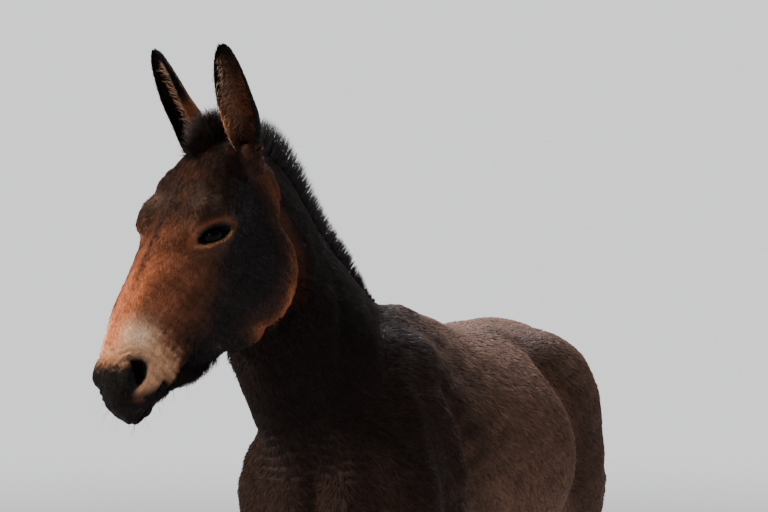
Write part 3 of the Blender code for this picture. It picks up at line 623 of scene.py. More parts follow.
def before_jaw(y, z):
    """How far a point of the head lies before the border between jaw and neck."""
    border = np.array(JAW_BORDER)
    slope = np.interp(z, border[:, 0], np.gradient(border[:, 1], border[:, 0]))
    return (y - np.interp(z, border[:, 0], border[:, 1])) / np.sqrt(1 + slope**2)


def line_distance(y, z, path):
    """The distance of points from a bent line, both in the head's side view."""
    best = np.full(len(y), 9.0)
    for (y0, z0), (y1, z1) in zip(path, path[1:]):
        span_squared = (y1 - y0) ** 2 + (z1 - z0) ** 2
        share = np.clip(((y - y0) * (y1 - y0) + (z - z0) * (z1 - z0)) / span_squared, 0, 1)
        best = np.minimum(best, np.hypot(y - y0 - share * (y1 - y0), z - z0 - share * (z1 - z0)))
    return best


def mouth_depth(z):
    """How far under the face the line of the mouth lies, seen from the side."""
    depths = (-0.119, -0.1205, -0.117, -0.114, -0.119, -0.123)
    return np.interp(z, (0.490, 0.506, 0.535, 0.555, 0.595, 0.630), depths)


VEINS = [
    [(-0.250, 0.360), (-0.190, 0.345), (-0.130, 0.335), (-0.085, 0.300), (-0.062, 0.262), (-0.055, 0.240)],
    [(-0.130, 0.335), (-0.085, 0.365), (-0.055, 0.415)],
    [(-0.085, 0.300), (-0.050, 0.330), (-0.030, 0.380)],
]


def face_relief(spots):
    """How far bone, muscle, veins and wrinkles lift or sink the head's skin at each point."""
    head = seen_from(place, spots)
    x, y, z = head.T
    aside = abs(x)
    lateral = ramp(aside, 0.020, 0.048)
    past = before_jaw(y, z)
    along_jaw = span(z, 0.02, 0.12, 0.30, 0.39) * lateral
    rise = -0.0085 * peak(past + 0.012, 0.013) * along_jaw
    rise += 0.0030 * peak(past - 0.014, 0.014) * along_jaw
    crest = y + 0.104 + 0.10 * (z - 0.28)
    on_crest = span(z, 0.215, 0.250, 0.335, 0.390) * lateral
    rise += (0.0032 * peak(crest, 0.009) - 0.0022 * peak(crest + 0.022, 0.012)) * on_crest
    rise -= 0.0022 * peak(y + 0.042 + 0.05 * (z - 0.36), 0.011) * span(z, 0.26, 0.31, 0.42, 0.47) * lateral
    for side in (1, -1):
        rise -= 0.0070 * blob(head, (side * 0.082, -0.078, 0.112), (0.034, 0.026, 0.034))
        rise -= 0.0028 * blob(head, (side * 0.082, -0.020, 0.232), (0.026, 0.024, 0.026))
        rise += 0.0030 * blob(head, (side * 0.060, -0.090, 0.505), (0.016, 0.014, 0.012))
        lip = np.hypot(y + 0.118, z - 0.500)
        rise += 0.0011 * np.sin(lip * 900) * peak(lip, 0.022) * lateral
        wing = np.hypot(y + 0.040, (z - 0.530) * 0.8)
        rise += 0.0010 * np.sin(wing * 620 + 1.0) * peak(wing - 0.040, 0.014) * ramp(aside, 0.02, 0.04)
    for vein in VEINS:
        rise += 0.0014 * peak(line_distance(y, z, vein), 0.0038) * lateral
    from_mouth = y - mouth_depth(z)
    rise += 0.0022 * peak(abs(from_mouth) - 0.008, 0.005) * ramp(z, 0.490, 0.515)
    rise -= 0.0016 * peak(from_mouth, 0.003) * ramp(z, 0.490, 0.505)
    lids = ramp(np.hypot(y - EYE_PLACE[1], z - EYE_PLACE[2]), 0.030, 0.045)
    rise *= 0.35 + 0.65 * lids
    rise += 0.0006 * ripple(spots, 0.030, 12) + 0.0004 * ripple(spots, 0.013, 13)
    throat = span(-past, 0.006, 0.030, 0.060, 0.110) * span(z, 0.05, 0.12, 0.32, 0.40)
    rise += 0.0014 * np.sin(past * 420 + 2.0 * ripple(spots, 0.08, 14)) * throat
    return rise


def whole_skin():
    """The hide from lips to hooves as one mesh."""
    forms = [limb("trunk", [(0, *row) for row in TRUNK])]
    forms += [form for row in MUSCLES for form in both_sides(*row)]
    forms.append(limb("neck", NECK))
    for side in (1, -1):
        forms += [leg(FORE_LEG[:5], side), leg(HIND_LEG[:6], side)]
    mass = fused("mass", forms, MASS_VOXEL, 22)

    # Head and upper neck, fine
    join, up = NECK_JOIN[0], NECK_JOIN[1].normalized()
    upper = kept(copied(mass), join - up * 0.10, -up, True)
    forms = [skull(), *head_features()]
    for form in forms:
        form.data.transform(place)
    coarse_forms = [copied(form) for form in forms]
    upper = fused("upper", [upper, *forms], HEAD_VOXEL, 22)
    points = spots_of(upper)
    upper.data.vertices.foreach_set("co", (points + outs_of(upper) * face_relief(points)[:, None]).ravel())
    applied(upper, "DECIMATE", ratio=HEAD_TRIANGLES / (2 * len(upper.data.polygons)))
    cutters = head_cutters()
    additions = []
    for side in (1, -1):
        additions += [ear_cup(side), lid_fold(side)]
    for piece in cutters + additions:
        piece.data.transform(place)
    worked(upper, additions, "UNION")
    worked(upper, cutters, "DIFFERENCE")
    rims = [lid_rim(side) for side in (1, -1)]
    for piece in rims:
        piece.data.transform(place)
    worked(upper, rims, "UNION")
    kept(upper, join + up * 0.003, -up, False)

    # Trunk, legs and dock, coarser
    lower = fused("lower", [mass, *coarse_forms, limb("dock", TAIL_CORE[:4])] + [
        leg(stations, side) for stations in (FORE_LEG, HIND_LEG) for side in (1, -1)
    ], BODY_VOXEL, 4)
    kept(lower, join - up * 0.003, up, False)
    return bridged("skin", upper, lower)


skin = whole_skin()


class Places:
    """Points of the body with their place on it: on the head, an ear, the neck or a leg."""

    def __init__(self, spots):
        self.spots = spots
        self.head = seen_from(place, spots)
        self.ears = {side: seen_from(place @ ear_frame(side), spots) for side in (1, -1)}
        self.eyes = {side: seen_from(place @ eye_frame(side), spots) for side in (1, -1)}
        in_ear = np.zeros(len(spots))
        for side, ear in self.ears.items():
            near = abs(ear[:, 0]) < 1.06 * ear_half(ear[:, 2] / EAR_LENGTH) + 0.001
            near = near & (abs(ear[:, 1] + 0.005) < 0.050) & (ear[:, 2] > 0.012)
            in_ear = np.maximum(in_ear, near * ramp(ear[:, 2], 0.012, 0.026))
        self.ear = in_ear
        self.past_jaw = before_jaw(self.head[:, 1], self.head[:, 2])
        near = np.linalg.norm(spots - np.array(place @ Vector((0, -0.12, 0.27))), axis=1) < 0.44
        self.on_head = np.maximum(ramp(self.past_jaw, -0.006, 0.012) * near, self.ear)
        self.leg = 1 - ramp(spots[:, 2], 0.66, 0.86)
        share = (spots - np.array([0, -0.375, 1.215])) @ np.array([0.0, -0.76, 0.65])
        self.neck = ramp(share, -0.10, 0.12) * (1 - self.on_head)


def coat_depth(where):
    """How deep the coat is at each point, from the skin to the tips of the hair."""
    depth = 0.0055 - 0.0010 * where.leg
    face = 0.0032 - 0.0020 * ramp(where.head[:, 2], 0.38, 0.54)
    for eye in where.eyes.values():
        from_eye = np.linalg.norm(eye[:, :3] - np.array([0, 0, 0.03]), axis=1)
        face = face * (0.25 + 0.75 * ramp(from_eye, 0.030, 0.055))
    depth = depth + (face - depth) * where.on_head
    depth = depth + (0.0007 - depth) * where.ear
    low = 1 - ramp(where.spots[:, 2], 0.12, 0.30)
    return depth * (1 - 0.5 * low)


GROOVES = [
    # depth and softness, then the line as places along the body and heights
    (-0.0070, 0.024, [(-0.44, 1.44), (-0.50, 1.32), (-0.53, 1.19), (-0.56, 1.09)]),
    (-0.0080, 0.022, [(-0.20, 1.40), (-0.32, 1.325), (-0.385, 1.24), (-0.405, 1.13), (-0.43, 1.02)]),
    (0.0065, 0.020, [(-0.17, 1.38), (-0.285, 1.30), (-0.345, 1.225), (-0.365, 1.13)]),
    (-0.0090, 0.022, [(-0.22, 1.21), (-0.19, 1.12), (-0.175, 1.02), (-0.19, 0.92)]),
    (0.0050, 0.022, [(-0.26, 1.17), (-0.23, 1.10), (-0.22, 1.01), (-0.235, 0.93)]),
    (-0.0200, 0.040, [(0.335, 1.205), (0.400, 1.150), (0.440, 1.060), (0.430, 0.960)]),
    (-0.0050, 0.020, [(0.600, 1.200), (0.660, 1.050), (0.668, 0.900)]),
]


def body_relief(where):
    """How far muscles and hollows lift or sink the skin of neck, trunk and quarters at each point."""
    x, y, z = where.spots.T
    lateral = ramp(abs(x + 0.10 * ramp(-y, 0.25, 0.60)), 0.020, 0.070)
    rise = np.zeros(len(x))
    for depth, soft, line in GROOVES:
        rise += depth * peak(line_distance(y, z, line), soft) * lateral
    ribs = span(y, -0.12, 0.02, 0.20, 0.30) * span(z, 0.88, 0.96, 1.14, 1.24)
    rise += 0.0012 * np.sin((y + 0.25 * (z - 1.05)) * 130) * ribs
    rise -= 0.0080 * peak(x, 0.020) * ramp(-y, 0.40, 0.46) * span(z, 0.84, 0.92, 1.04, 1.12)
    folds = ramp(-y, 0.44, 0.50) * span(z, 0.97, 1.02, 1.10, 1.15)
    rise += 0.0022 * np.sin((z + 0.12 * abs(x)) * 290 + 1.5 * ripple(where.spots, 0.12, 15)) * folds
    rise += 0.0012 * ripple(where.spots, 0.09, 16)
    return rise * (1 - where.on_head) * (1 - where.leg)


# The marks of the coat: what the eye sees are a near-black head and neck over a brown body, a red-brown
# bridge of the nose, tan rings round the eyes, a pale mealy patch above the black muzzle and a rusty rim
# along the jaw. Light is painted into some of them: a paler sheen on the back, shade in the flank's hollow
# before the haunch, a light ridge down the nose and the bright rear edge of the jaw.
BODY_BROWN = "4c372d"
BACK_SHEEN_BROWN = "664d40"
LEG_BLACK = "1d1614"
NECK_BLACK = "0f0a0a"
FACE_BROWN = "402619"
CHEEK_GREY = "161213"
FOREHEAD_BROWN = "241813"
BRIDGE_RED = "7a4a35"
LIT_RIDGE_SALMON = "b46c48"
RUST = "995a3a"
EYE_TAN = "9a6a48"
MEALY = "ecc8a8"
MEALY_TAN = "b58a6c"
MUZZLE_BLACK = "080606"
LIP_PINK = "7c5444"
FROST = "85746a"
EAR_BACK = "38221a"
EAR_INNER = "7c6450"
# Borders as rows: how high on the body and how far back the painted shade in the flank's hollow before the
# haunch starts, then the place along the head, with how far out of the face the cheek's grey starts, or with
# the strength of the jaw's brown and rust, which are partly the coat's colour and partly painted light on
# the jaw's rear edge
HAUNCH_SHADE_BORDER = [(0.90, 0.455), (1.06, 0.465), (1.15, 0.420), (1.22, 0.350), (1.34, 0.230)]
CHEEK_BORDER = [
    (0.10, -0.035),
    (0.15, -0.062),
    (0.231, -0.086),
    (0.298, -0.124),
    (0.375, -0.128),
    (0.43, -0.140),
    (0.46, -0.130),
    (0.506, -0.120),
    (0.56, -0.114),
]
JAW_BROWN_AND_LIGHT = [(-0.12, 0.0), (-0.02, 0.60), (0.10, 0.70), (0.27, 0.70), (0.34, 0.0)]
JAW_RUST_AND_LIGHT = [
    (-0.12, 0.0),
    (0.00, 0.16),
    (0.10, 0.24),
    (0.16, 0.60),
    (0.20, 0.92),
    (0.25, 0.85),
    (0.29, 0.45),
    (0.33, 0.0),
]


def linear(code):
    """The linear colour of a six-digit sRGB code."""
    shares = [int(code[i : i + 2], 16) / 255 for i in (0, 2, 4)]
    return [share / 12.92 if share < 0.04045 else ((share + 0.055) / 1.055) ** 2.4 for share in shares]


def layered(colours, layers):
    """The colours with each layer, a colour code and its share at each point, laid over them in turn."""
    for code, share in layers:
        share = np.clip(share, 0, 1)[:, None]
        colours = colours * (1 - share) + np.array(linear(code)) * share
    return colours


def body_marks(where, mottle, fine):
    """The brown body with a painted sheen on its back, dark legs and shoulders, near-black neck and painted
    shade in the flank's hollow before the haunch.
    """
    x, y, z = where.spots.T
    # Painted shade: a darker band along the flank's hollow that fades out back over the haunch
    haunch = y - np.interp(z, *zip(*HAUNCH_SHADE_BORDER)) + 0.012 * mottle
    haunch = ramp(haunch, -0.040, 0.012) * (1 - 0.75 * ramp(haunch, 0.02, 0.26))
    shoulder = 1 - ramp(y - 0.30 * (z - 1.15) + 0.03 * mottle + 0.01 * fine, -0.28, 0.10)
    beyond = ramp(where.past_jaw, -0.055, -0.005) * span(where.head[:, 2], -0.10, 0.00, 0.12, 0.22)
    return layered(np.tile(linear(BODY_BROWN), (len(x), 1)), [
        # The paler brown of the back is a painted sheen of the light from above
        (BACK_SHEEN_BROWN, ramp(z + 0.02 * mottle, 1.05, 1.38) * 0.8),
        (LEG_BLACK, where.leg * 0.9),
        (NECK_BLACK, shoulder * 0.85),
        (NECK_BLACK, where.neck * 0.9),
        (LEG_BLACK, haunch * ramp(abs(x), 0.03, 0.15) * 0.52),
        (FACE_BROWN, beyond * where.neck * 0.65),
    ])


def face_marks(where, mottled, mottle, fine, speckle):
    """Brow, bridge of the nose and cheeks, with painted light down the nose's ridge and on the brown and
    rusty rim along the jaw.
    """
    x, y, z = where.head.T
    aside = abs(x)
    front = before_cheek(where, mottle, fine, speckle)
    face = ramp(z, 0.14, 0.24)
    patches = ramp(ripple(where.spots, 0.045, 23) + 0.4 * speckle, 0.0, 1.5)
    # The light salmon ridge down the nose is its red-brown coat lightened by painted light from the left
    ridge = ramp(y, -0.022, 0.022) * ramp(z, 0.24, 0.40) * (1 - ramp(aside, 0.026, 0.054))
    streak = peak(x - 0.001 - 0.10 * (z - 0.20) + 0.002 * fine, 0.008) * ramp(z, 0.14, 0.20)
    bridge = ramp(front, 0.020, 0.125) * ramp(z, 0.17, 0.32) * (0.85 + 0.12 * mottle + 0.10 * fine)
    flecks = ramp(speckle + 0.5 * fine, 0.5, 1.5) * ramp(front, 0.0, 0.03) * face * 0.45
    layers = [
        (FOREHEAD_BROWN, ramp(y + 0.016 * mottle, -0.13, 0.00) * (1 - ramp(z, 0.15, 0.26))),
        (BRIDGE_RED, blob(mottled, (0.030, 0.012, 0.092), (0.022, 0.024, 0.020)) * 0.16),
        (BRIDGE_RED, patches * ramp(y, -0.05, 0.01) * (1 - ramp(z, 0.17, 0.24)) * 0.09),
        (FACE_BROWN, ramp(front, -0.050, 0.045) * face),
        (BRIDGE_RED, bridge),
        (CHEEK_GREY, flecks),
        (LIT_RIDGE_SALMON, ridge * (0.62 + 0.30 * ramp(z, 0.38, 0.46))),
        (CHEEK_GREY, streak * (1 - ramp(z, 0.30, 0.42)) * ramp(y, -0.04, -0.01) * 0.62),
    ]
    for side in (1, -1):
        frost = blob(mottled, (side * 0.074, -0.018, 0.142), (0.040, 0.022, 0.018))
        layers.append((FROST, frost * (0.24 + 0.15 * speckle)))

    strands = ripple(np.stack([where.past_jaw, z * 0.18, x * 0.3], axis=1), 0.008, 25)
    inward = -where.past_jaw - 0.006 * fine
    outer = ramp(aside, 0.020, 0.045)
    # Along the jaw's rear edge the brown band and the rust rim are partly the coat's colour and partly
    # painted light on that edge
    band = ramp(inward, -0.105, -0.030) * outer * np.interp(z, *zip(*JAW_BROWN_AND_LIGHT))
    rim = ramp(inward + 0.006 * strands, -0.056, -0.006) * outer * np.interp(z, *zip(*JAW_RUST_AND_LIGHT))
    layers.append((FACE_BROWN, band * (0.75 + 0.25 * strands)))
    layers.append((RUST, rim * (0.80 + 0.20 * mottle + 0.20 * strands)))
    return layered(np.tile(linear(CHEEK_GREY), (len(x), 1)), layers)


def muzzle_marks(where, head, mottled, mottle, fine, speckle):
    """The mealy patch behind the nostrils, the black muzzle, lips, chin and beard."""
    x, y, z = where.head.T
    front = before_cheek(where, mottle, fine, speckle)
    layers = []
    for side in (1, -1):
        pale = ramp(z + 0.008 * fine + 0.005 * speckle, 0.400, 0.490)
        pale *= ramp(front + 0.02 * (z - 0.50), -0.006, 0.030)
        pale *= ramp(abs(x), 0.012, 0.040) * (1 - ramp(z, 0.560, 0.585)) * (np.sign(x) == side)
        pale *= 1 - 0.40 * ramp(-y, 0.060, 0.120) * (1 - ramp(z, 0.490, 0.530))
        palest = blob(mottled, (side * 0.046, -0.016, 0.452), (0.028, 0.036, 0.036))
        layers += [(MEALY_TAN, pale * (0.84 + 0.16 * speckle)), (MEALY, palest * (0.85 + 0.12 * speckle))]
    edge = z - 0.75 * np.clip(y + 0.007, -0.02, 0.05) + 0.003 * fine + 0.002 * speckle
    behind = ramp(-y, 0.052, 0.066) * (1 - ramp(z, 0.558, 0.572))
    layers += [
        (MEALY_TAN, ramp(edge, 0.455, 0.490) * 0.5),
        (MUZZLE_BLACK, ramp(edge + 0.006 * speckle, 0.482, 0.540) * (1 - behind)),
        (MUZZLE_BLACK, ramp(-front, 0.006, 0.030) * span(z, 0.36, 0.44, 0.47, 0.49)),
        (MUZZLE_BLACK, ramp(mouth_depth(z) - y, 0.000, 0.004) * ramp(z, 0.485, 0.500)),
        (MUZZLE_BLACK, ramp(-y - 1.2 * (0.42 - z), 0.205, 0.245) * ramp(z, 0.22, 0.34)),
        (MUZZLE_BLACK, peak(y - mouth_depth(z), 0.005) * ramp(z, 0.492, 0.502)),
    ]
    for side in (1, -1):
        from_wing = (where.head - np.array((side * 0.055, -0.037, 0.524))) / np.array((0.040, 0.022, 0.030))
        layers.append((MUZZLE_BLACK, 1 - ramp((from_wing**2).sum(axis=1), 0.70, 1.35)))
    for side in (1, -1):
        lip = blob(mottled, (side * 0.040, -0.076, 0.558), (0.018, 0.012, 0.010))
        layers.append((LIP_PINK, lip * 0.7))
    return layered(head, layers)


def eye_marks(where, head):
    """Tan rings under the eyes and black lid margins."""
    for side in (1, -1):
        eye = where.eyes[side]
        across = eye[:, 0] - EYE_OPENING_SHIFT
        high = lid_reach(side, eye[:, 1]) + 0.002
        ring = np.hypot(across / (0.5 * EYE_OPENING[0] + 0.002), eye[:, 1] / high)
        near = ramp(eye[:, 2], -0.01, 0.01)
        below = ramp(side * eye[:, 1], 0.000, 0.010) * (1 - 0.5 * ramp(across, 0.020, 0.040))
        head = layered(head, [
            (FACE_BROWN, peak(ring - 1.55, 0.35) * near * 0.7),
            (RUST, peak(ring - 1.45, 0.16) * near * (1 - below) * 0.25),
            (EYE_TAN, peak(ring - 1.22, 0.12) * near * (0.04 + 0.86 * below)),
            (MUZZLE_BLACK, (1 - ramp(ring, 1.00, 1.08)) * near),
        ])
    return head


def ear_marks(side, ear, mottle):
    """One ear: a rusty back, a paler inside, and black along the rims and at the tip."""
    share = ear[:, 2] / EAR_LENGTH
    half = ear_half(share)
    to_middle = side * ear[:, 0] / half
    inside = ramp(ear[:, 1], -0.014, -0.006)
    rim = ramp(abs(ear[:, 0]) / half, 0.78, 0.94)
    return layered(np.tile(linear(EAR_BACK), (len(ear), 1)), [
        (RUST, (1 - inside) * span(share, 0.14, 0.34, 0.40, 0.80) * 0.42),
        (EAR_INNER, inside * (1 - rim) * ramp(to_middle, -0.4, 0.6) * 0.30),
        (RUST, ramp(to_middle, 0.78, 0.95) * span(share, 0.08, 0.20, 0.35, 0.60) * 0.6),
        (MUZZLE_BLACK, ramp(to_middle, 0.74, 0.90) * ramp(share, 0.40, 0.62)),
        (MUZZLE_BLACK, ramp(-to_middle, 0.56, 0.76) * ramp(share, 0.02, 0.12)),
        (MUZZLE_BLACK, ramp(share + 0.02 * mottle, 0.80, 0.90)),
    ])


def before_cheek(where, mottle, fine, speckle):
    """How far a point lies before the wavering border between the red-brown face and the grey cheek."""
    border = np.interp(where.head[:, 2], *zip(*CHEEK_BORDER))
    return where.head[:, 1] - border + 0.012 * mottle + 0.006 * fine + 0.003 * speckle


def markings(where):
    """The coat's colour at each point, the same for skin and hair."""
    mottle, fine, speckle = (ripple(where.spots, *wave) for wave in ((0.07, 21), (0.018, 22), (0.009, 24)))
    colours = body_marks(where, mottle, fine)
    mottled = where.head + 0.006 * np.stack([mottle, fine, mottle], axis=1)
    head = face_marks(where, mottled, mottle, fine, speckle)
    head = muzzle_marks(where, head, mottled, mottle, fine, speckle)
    head = eye_marks(where, head)
    colours += (head - colours) * where.on_head[:, None]
    for side, ear in where.ears.items():
        mine = where.ear * (np.sign(where.head[:, 0]) == side)
        colours += (ear_marks(side, ear, mottle) - colours) * mine[:, None]
    return colours * (1 + 0.10 * fine + 0.08 * mottle)[:, None]


def noded(tree, kind, links=(), **settings):
    """Adds a node with its settings, and links it: (input, output of another node)."""
    node = tree.nodes.new(kind)
    for key, value in settings.items():
        if key in node.inputs:
            node.inputs[key].default_value = value
        else:
            setattr(node, key, value)
    for socket, source in links:
        tree.links.new(source, node.inputs[socket])
    return node


def shader_of(name):
    """A new material with only its shader, and that shader."""
    material = bpy.data.materials.new(name)
    material.use_nodes = True
    return material, material.node_tree, material.node_tree.nodes["Principled BSDF"]


def marked_material(name, roughness, specular):
    """A material in the marks painted on its mesh, as the hair of coat and mane and the wet eye have it."""
    material, tree, shader = shader_of(name)
    marks = noded(tree, "ShaderNodeAttribute", attribute_name="Coat")
    tree.links.new(marks.outputs["Color"], shader.inputs["Base Color"])
    shader.inputs["Roughness"].default_value = roughness
    shader.inputs["Specular IOR Level"].default_value = specular
    return material, tree, shader, marks


def grained_material(name, roughness, specular, grain, shades, depth, stretch=(1, 1, 1)):
    """A marked material with a grain, a noise of a scale and detail, in its shade and its relief."""
    material, tree, shader, marks = marked_material(name, roughness, specular)
    where = noded(tree, "ShaderNodeTexCoord")
    drawn = noded(tree, "ShaderNodeMapping", [("Vector", where.outputs["Object"])], Scale=stretch)
    noise = [("Vector", drawn.outputs["Vector"])]
    noise = noded(tree, "ShaderNodeTexNoise", noise, Scale=grain[0], Detail=grain[1])
    shade = noded(tree, "ShaderNodeMapRange", [("Value", noise.outputs["Fac"])])
    shade.inputs["To Min"].default_value, shade.inputs["To Max"].default_value = shades
    tint = noded(tree, "ShaderNodeVectorMath", [(0, marks.outputs["Color"])], operation="SCALE")
    tree.links.new(shade.outputs["Result"], tint.inputs["Scale"])
    strength, distance = depth
    relief = [("Height", noise.outputs["Fac"])]
    relief = noded(tree, "ShaderNodeBump", relief, Strength=strength, Distance=distance)
    tree.links.new(tint.outputs["Vector"], shader.inputs["Base Color"])
    tree.links.new(relief.outputs["Normal"], shader.inputs["Normal"])
    return material


# Velvety hide: a grain of 2.2 mm, as coarse as it needs to show, looks like short hair in colour and relief
hide = grained_material("Short velvety hide", 0.62, 0.09, (1000 / 2.2, 3.0), (0.72, 1.28), (0.5, 0.0006))


def painted(mesh, colours):
    """Stores the coat's colours on the points of a mesh."""
    rgba = np.ones((len(mesh.vertices), 4), np.float32)
    rgba[:, :3] = np.clip(colours, 0, 1)
    mesh.color_attributes.new("Coat", "FLOAT_COLOR", "POINT").data.foreach_set("color", rgba.ravel())


# The skin lies under the tips of the coat by the coat's depth
spots, outs = spots_of(skin), outs_of(skin)
where = Places(spots)
spots = spots + outs * (body_relief(where) - coat_depth(where))[:, None]
skin.data.vertices.foreach_set("co", spots.ravel())
skin.data.update()
painted(skin.data, markings(where))
skin.name = skin.data.name = "skin"
skin.data.materials.clear()
skin.data.materials.append(hide)
skin_tree = BVHTree.FromObject(skin, bpy.context.evaluated_depsgraph_get())


# Coat
# Short hair over the whole hide, in thin tufts that overlap like shingles and follow the lie of the coat:
# down the face and legs, back along the neck and barrel. Tufts are smallest round eyes, nostrils and
# lips.
HEAD_TUFTS = 30000
NECK_TUFTS = 16000
TRUNK_TUFTS = 18000
LEG_TUFTS = 16000
EAR_TUFTS = 12500


def unit(rows):
    """Rows of numbers brought to length 1."""
    return rows / np.maximum(np.linalg.norm(rows, axis=1), 1e-9)[:, None]


def lie_of_coat(where, outs):
    """The way the hair lies at each point, along the skin."""
    spots = where.spots
    x, y, z = where.head.T
    count = len(spots)
    lie = np.tile([0.0, 1.0, -0.25], (count, 1))
    side_of_body = ramp(abs(outs[:, 0]), 0.3, 0.9)
    lie[:, 2] -= 0.55 * side_of_body
    neck_way = np.array([0.12, 0.72, -0.68])
    lie += (neck_way - lie) * where.neck[:, None]
    lie += (np.array([0.0, 0.10, -1.0]) - lie) * where.leg[:, None]
    local = np.zeros((count, 3))
    local[:, 2] = ramp(z, 0.10, 0.19) * 2 - 1
    local[:, 0] = np.sign(x) * (1 - ramp(abs(z - 0.145), 0.0, 0.06)) * 0.8
    cheek = ramp(-y, 0.06, 0.16) * ramp(-z, -0.42, -0.30)
    local[:, 1] -= 0.9 * cheek
    local[:, 2] += (0.35 - local[:, 2]) * cheek
    turned = np.array(place.to_3x3())
    head_way = local @ turned.T
    lie += (head_way - lie) * where.on_head[:, None]
    for side in where.ears:
        axes = np.array((place @ ear_frame(side)).to_3x3())
        mine = (where.ear * (np.sign(x) == side))[:, None]
        lie += (axes[:, 2] - lie) * mine
    lie += 0.22 * np.stack([ripple(spots, 0.05, seed) for seed in (31, 32, 33)], axis=1)
    return unit(lie - outs * (lie * outs).sum(axis=1)[:, None])


def scattered(count, weights, seed):
    """Random points on the skin's triangles, more where the weights of its points are larger."""
    draw = np.random.default_rng(seed)
    mesh = skin.data
    mesh.calc_loop_triangles()
    corners = np.empty(len(mesh.loop_triangles) * 3, int)
    mesh.loop_triangles.foreach_get("vertices", corners)
    corners = corners.reshape(-1, 3)
    points, outs = spots_of(skin), outs_of(skin)
    a, b, c = (points[corners[:, k]] for k in range(3))
    area = 0.5 * np.linalg.norm(np.cross(b - a, c - a), axis=1)
    share = area * weights[corners].mean(axis=1)
    pick = draw.choice(len(corners), size=count, p=share / share.sum())
    u, v = draw.random(count), draw.random(count)
    over = u + v > 1
    u[over], v[over] = 1 - u[over], 1 - v[over]
    one, two, three = corners[pick].T
    u, v, w = u[:, None], v[:, None], (1 - u - v)[:, None]
    found = [u * values[one] + v * values[two] + w * values[three] for values in (points, outs)]
    return found[0], unit(found[1])


def meshed(name, spots, faces, colours, patches, material, outs=None):
    """A piece from points, triangles, point colours and the places of its tufts on the unwrapped skin."""
    mesh = bpy.data.meshes.new(name)
    mesh.vertices.add(len(spots))
    mesh.vertices.foreach_set("co", spots.astype(np.float32).ravel())
    mesh.loops.add(faces.size)
    mesh.loops.foreach_set("vertex_index", faces.astype(np.int32).ravel())
    mesh.polygons.add(len(faces))
    mesh.polygons.foreach_set("loop_start", np.arange(0, faces.size, 3, dtype=np.int32))
    mesh.update(calc_edges=True)
    painted(mesh, colours)
    layer = mesh.uv_layers.new(name="OFBake")
    layer.data.foreach_set("uv", patches[faces.ravel()].astype(np.float32).ravel())
    mesh.materials.append(material)
    if outs is not None:
        mesh.shade_smooth()
        mesh.normals_split_custom_set_from_vertices(outs)
    piece = bpy.data.objects.new(name, mesh)
    bpy.context.scene.collection.objects.link(piece)
    return piece


TUFT_FACES = np.array([(0, 3, 1), (0, 2, 3), (1, 3, 4), (2, 4, 3), (0, 1, 2), (1, 4, 2)])
# Half the size of a tuft's or a hair's own place on the unwrap
PATCH = 0.0015


def tufts(name, roots, outs, lies, length, width, lift, colours, chart, material, seed):
    """Thin closed tufts, one at each root: a leaf with a raised rib, low at its root and free at its tip."""
    draw = np.random.default_rng(seed)
    count = len(roots)
    length = (length * draw.uniform(0.75, 1.25, count))[:, None]
    width = (width * draw.uniform(0.8, 1.2, count))[:, None]
    lift = (lift * draw.uniform(0.5, 1.4, count))[:, None]
    swing = draw.normal(0, 0.16, count)[:, None]
    across = np.cross(outs, lies)
    lies = unit(lies + across * swing)
    across = np.cross(outs, lies)
    sunk = outs * 0.0006
    spots = np.stack([
        roots - lies * length * 0.12 - sunk,
        roots + lies * length * 0.40 + across * width * 0.5 + outs * length * lift * 0.35,
        roots + lies * length * 0.40 - across * width * 0.5 + outs * length * lift * 0.35,
        roots + lies * length * 0.45 + outs * (length * lift * 0.55 + width * 0.22),
        roots + lies * length + outs * length * lift * 0.8,
    ], axis=1)
    faces = (np.arange(count)[:, None, None] * 5 + TUFT_FACES).reshape(-1, 3)
    shade = np.array([0.70, 0.94, 0.94, 1.02, 1.20])[None, :, None] * draw.normal(1, 0.20, (count, 1, 1))
    tones = np.repeat(colours[:, None, :], 5, axis=1) * np.clip(shade, 0.3, 2)
    shift = np.array([(0, -PATCH), (PATCH, 0), (-PATCH, 0), (0, 0), (0, PATCH)])
    patches = chart[:, None, :] + shift
    tilt = outs + draw.normal(0, 0.10, (count, 3))
    ways = [tilt - lies * 0.2, tilt + across * 0.55, tilt - across * 0.55, tilt, tilt + lies * 0.3]
    ways = unit(np.stack(ways, axis=1).reshape(-1, 3))
    spots, tones, patches = spots.reshape(-1, 3), tones.reshape(-1, 3), patches.reshape(-1, 2)
    return meshed(name, spots, faces, tones, patches, material, ways)


def round_chart(spots, start, axis, front, length, half_only):
    """Places on an unwrap of a long form: once round it across the map, along it up the map."""
    axis = np.array(Vector(axis).normalized())
    front = np.array(front) - axis * (np.array(front) @ axis)
    front /= np.linalg.norm(front)
    side = np.cross(axis, front)
    rest = spots - np.array(start)
    turn = np.arctan2(rest @ side, rest @ front) / math.pi
    if half_only:
        turn = abs(turn) * 2 - 1
    return np.stack([0.5 + 0.48 * turn, np.clip(0.02 + 0.96 * (rest @ axis) / length, 0.01, 0.99)], axis=1)


def coat_piece(name, count, weights, seed, sizes, chart_of):
    """One piece of the coat: scattered tufts whose sizes come from a function of their places."""
    roots, outs = scattered(count, weights, seed)
    where = Places(roots)
    length, width, lift = sizes(where)
    lies = lie_of_coat(where, outs)
    colours, chart = markings(where), chart_of(roots)
    piece = tufts(name, roots, outs, lies, length, width, lift, colours, chart, fur, seed + 1)
    home(piece)


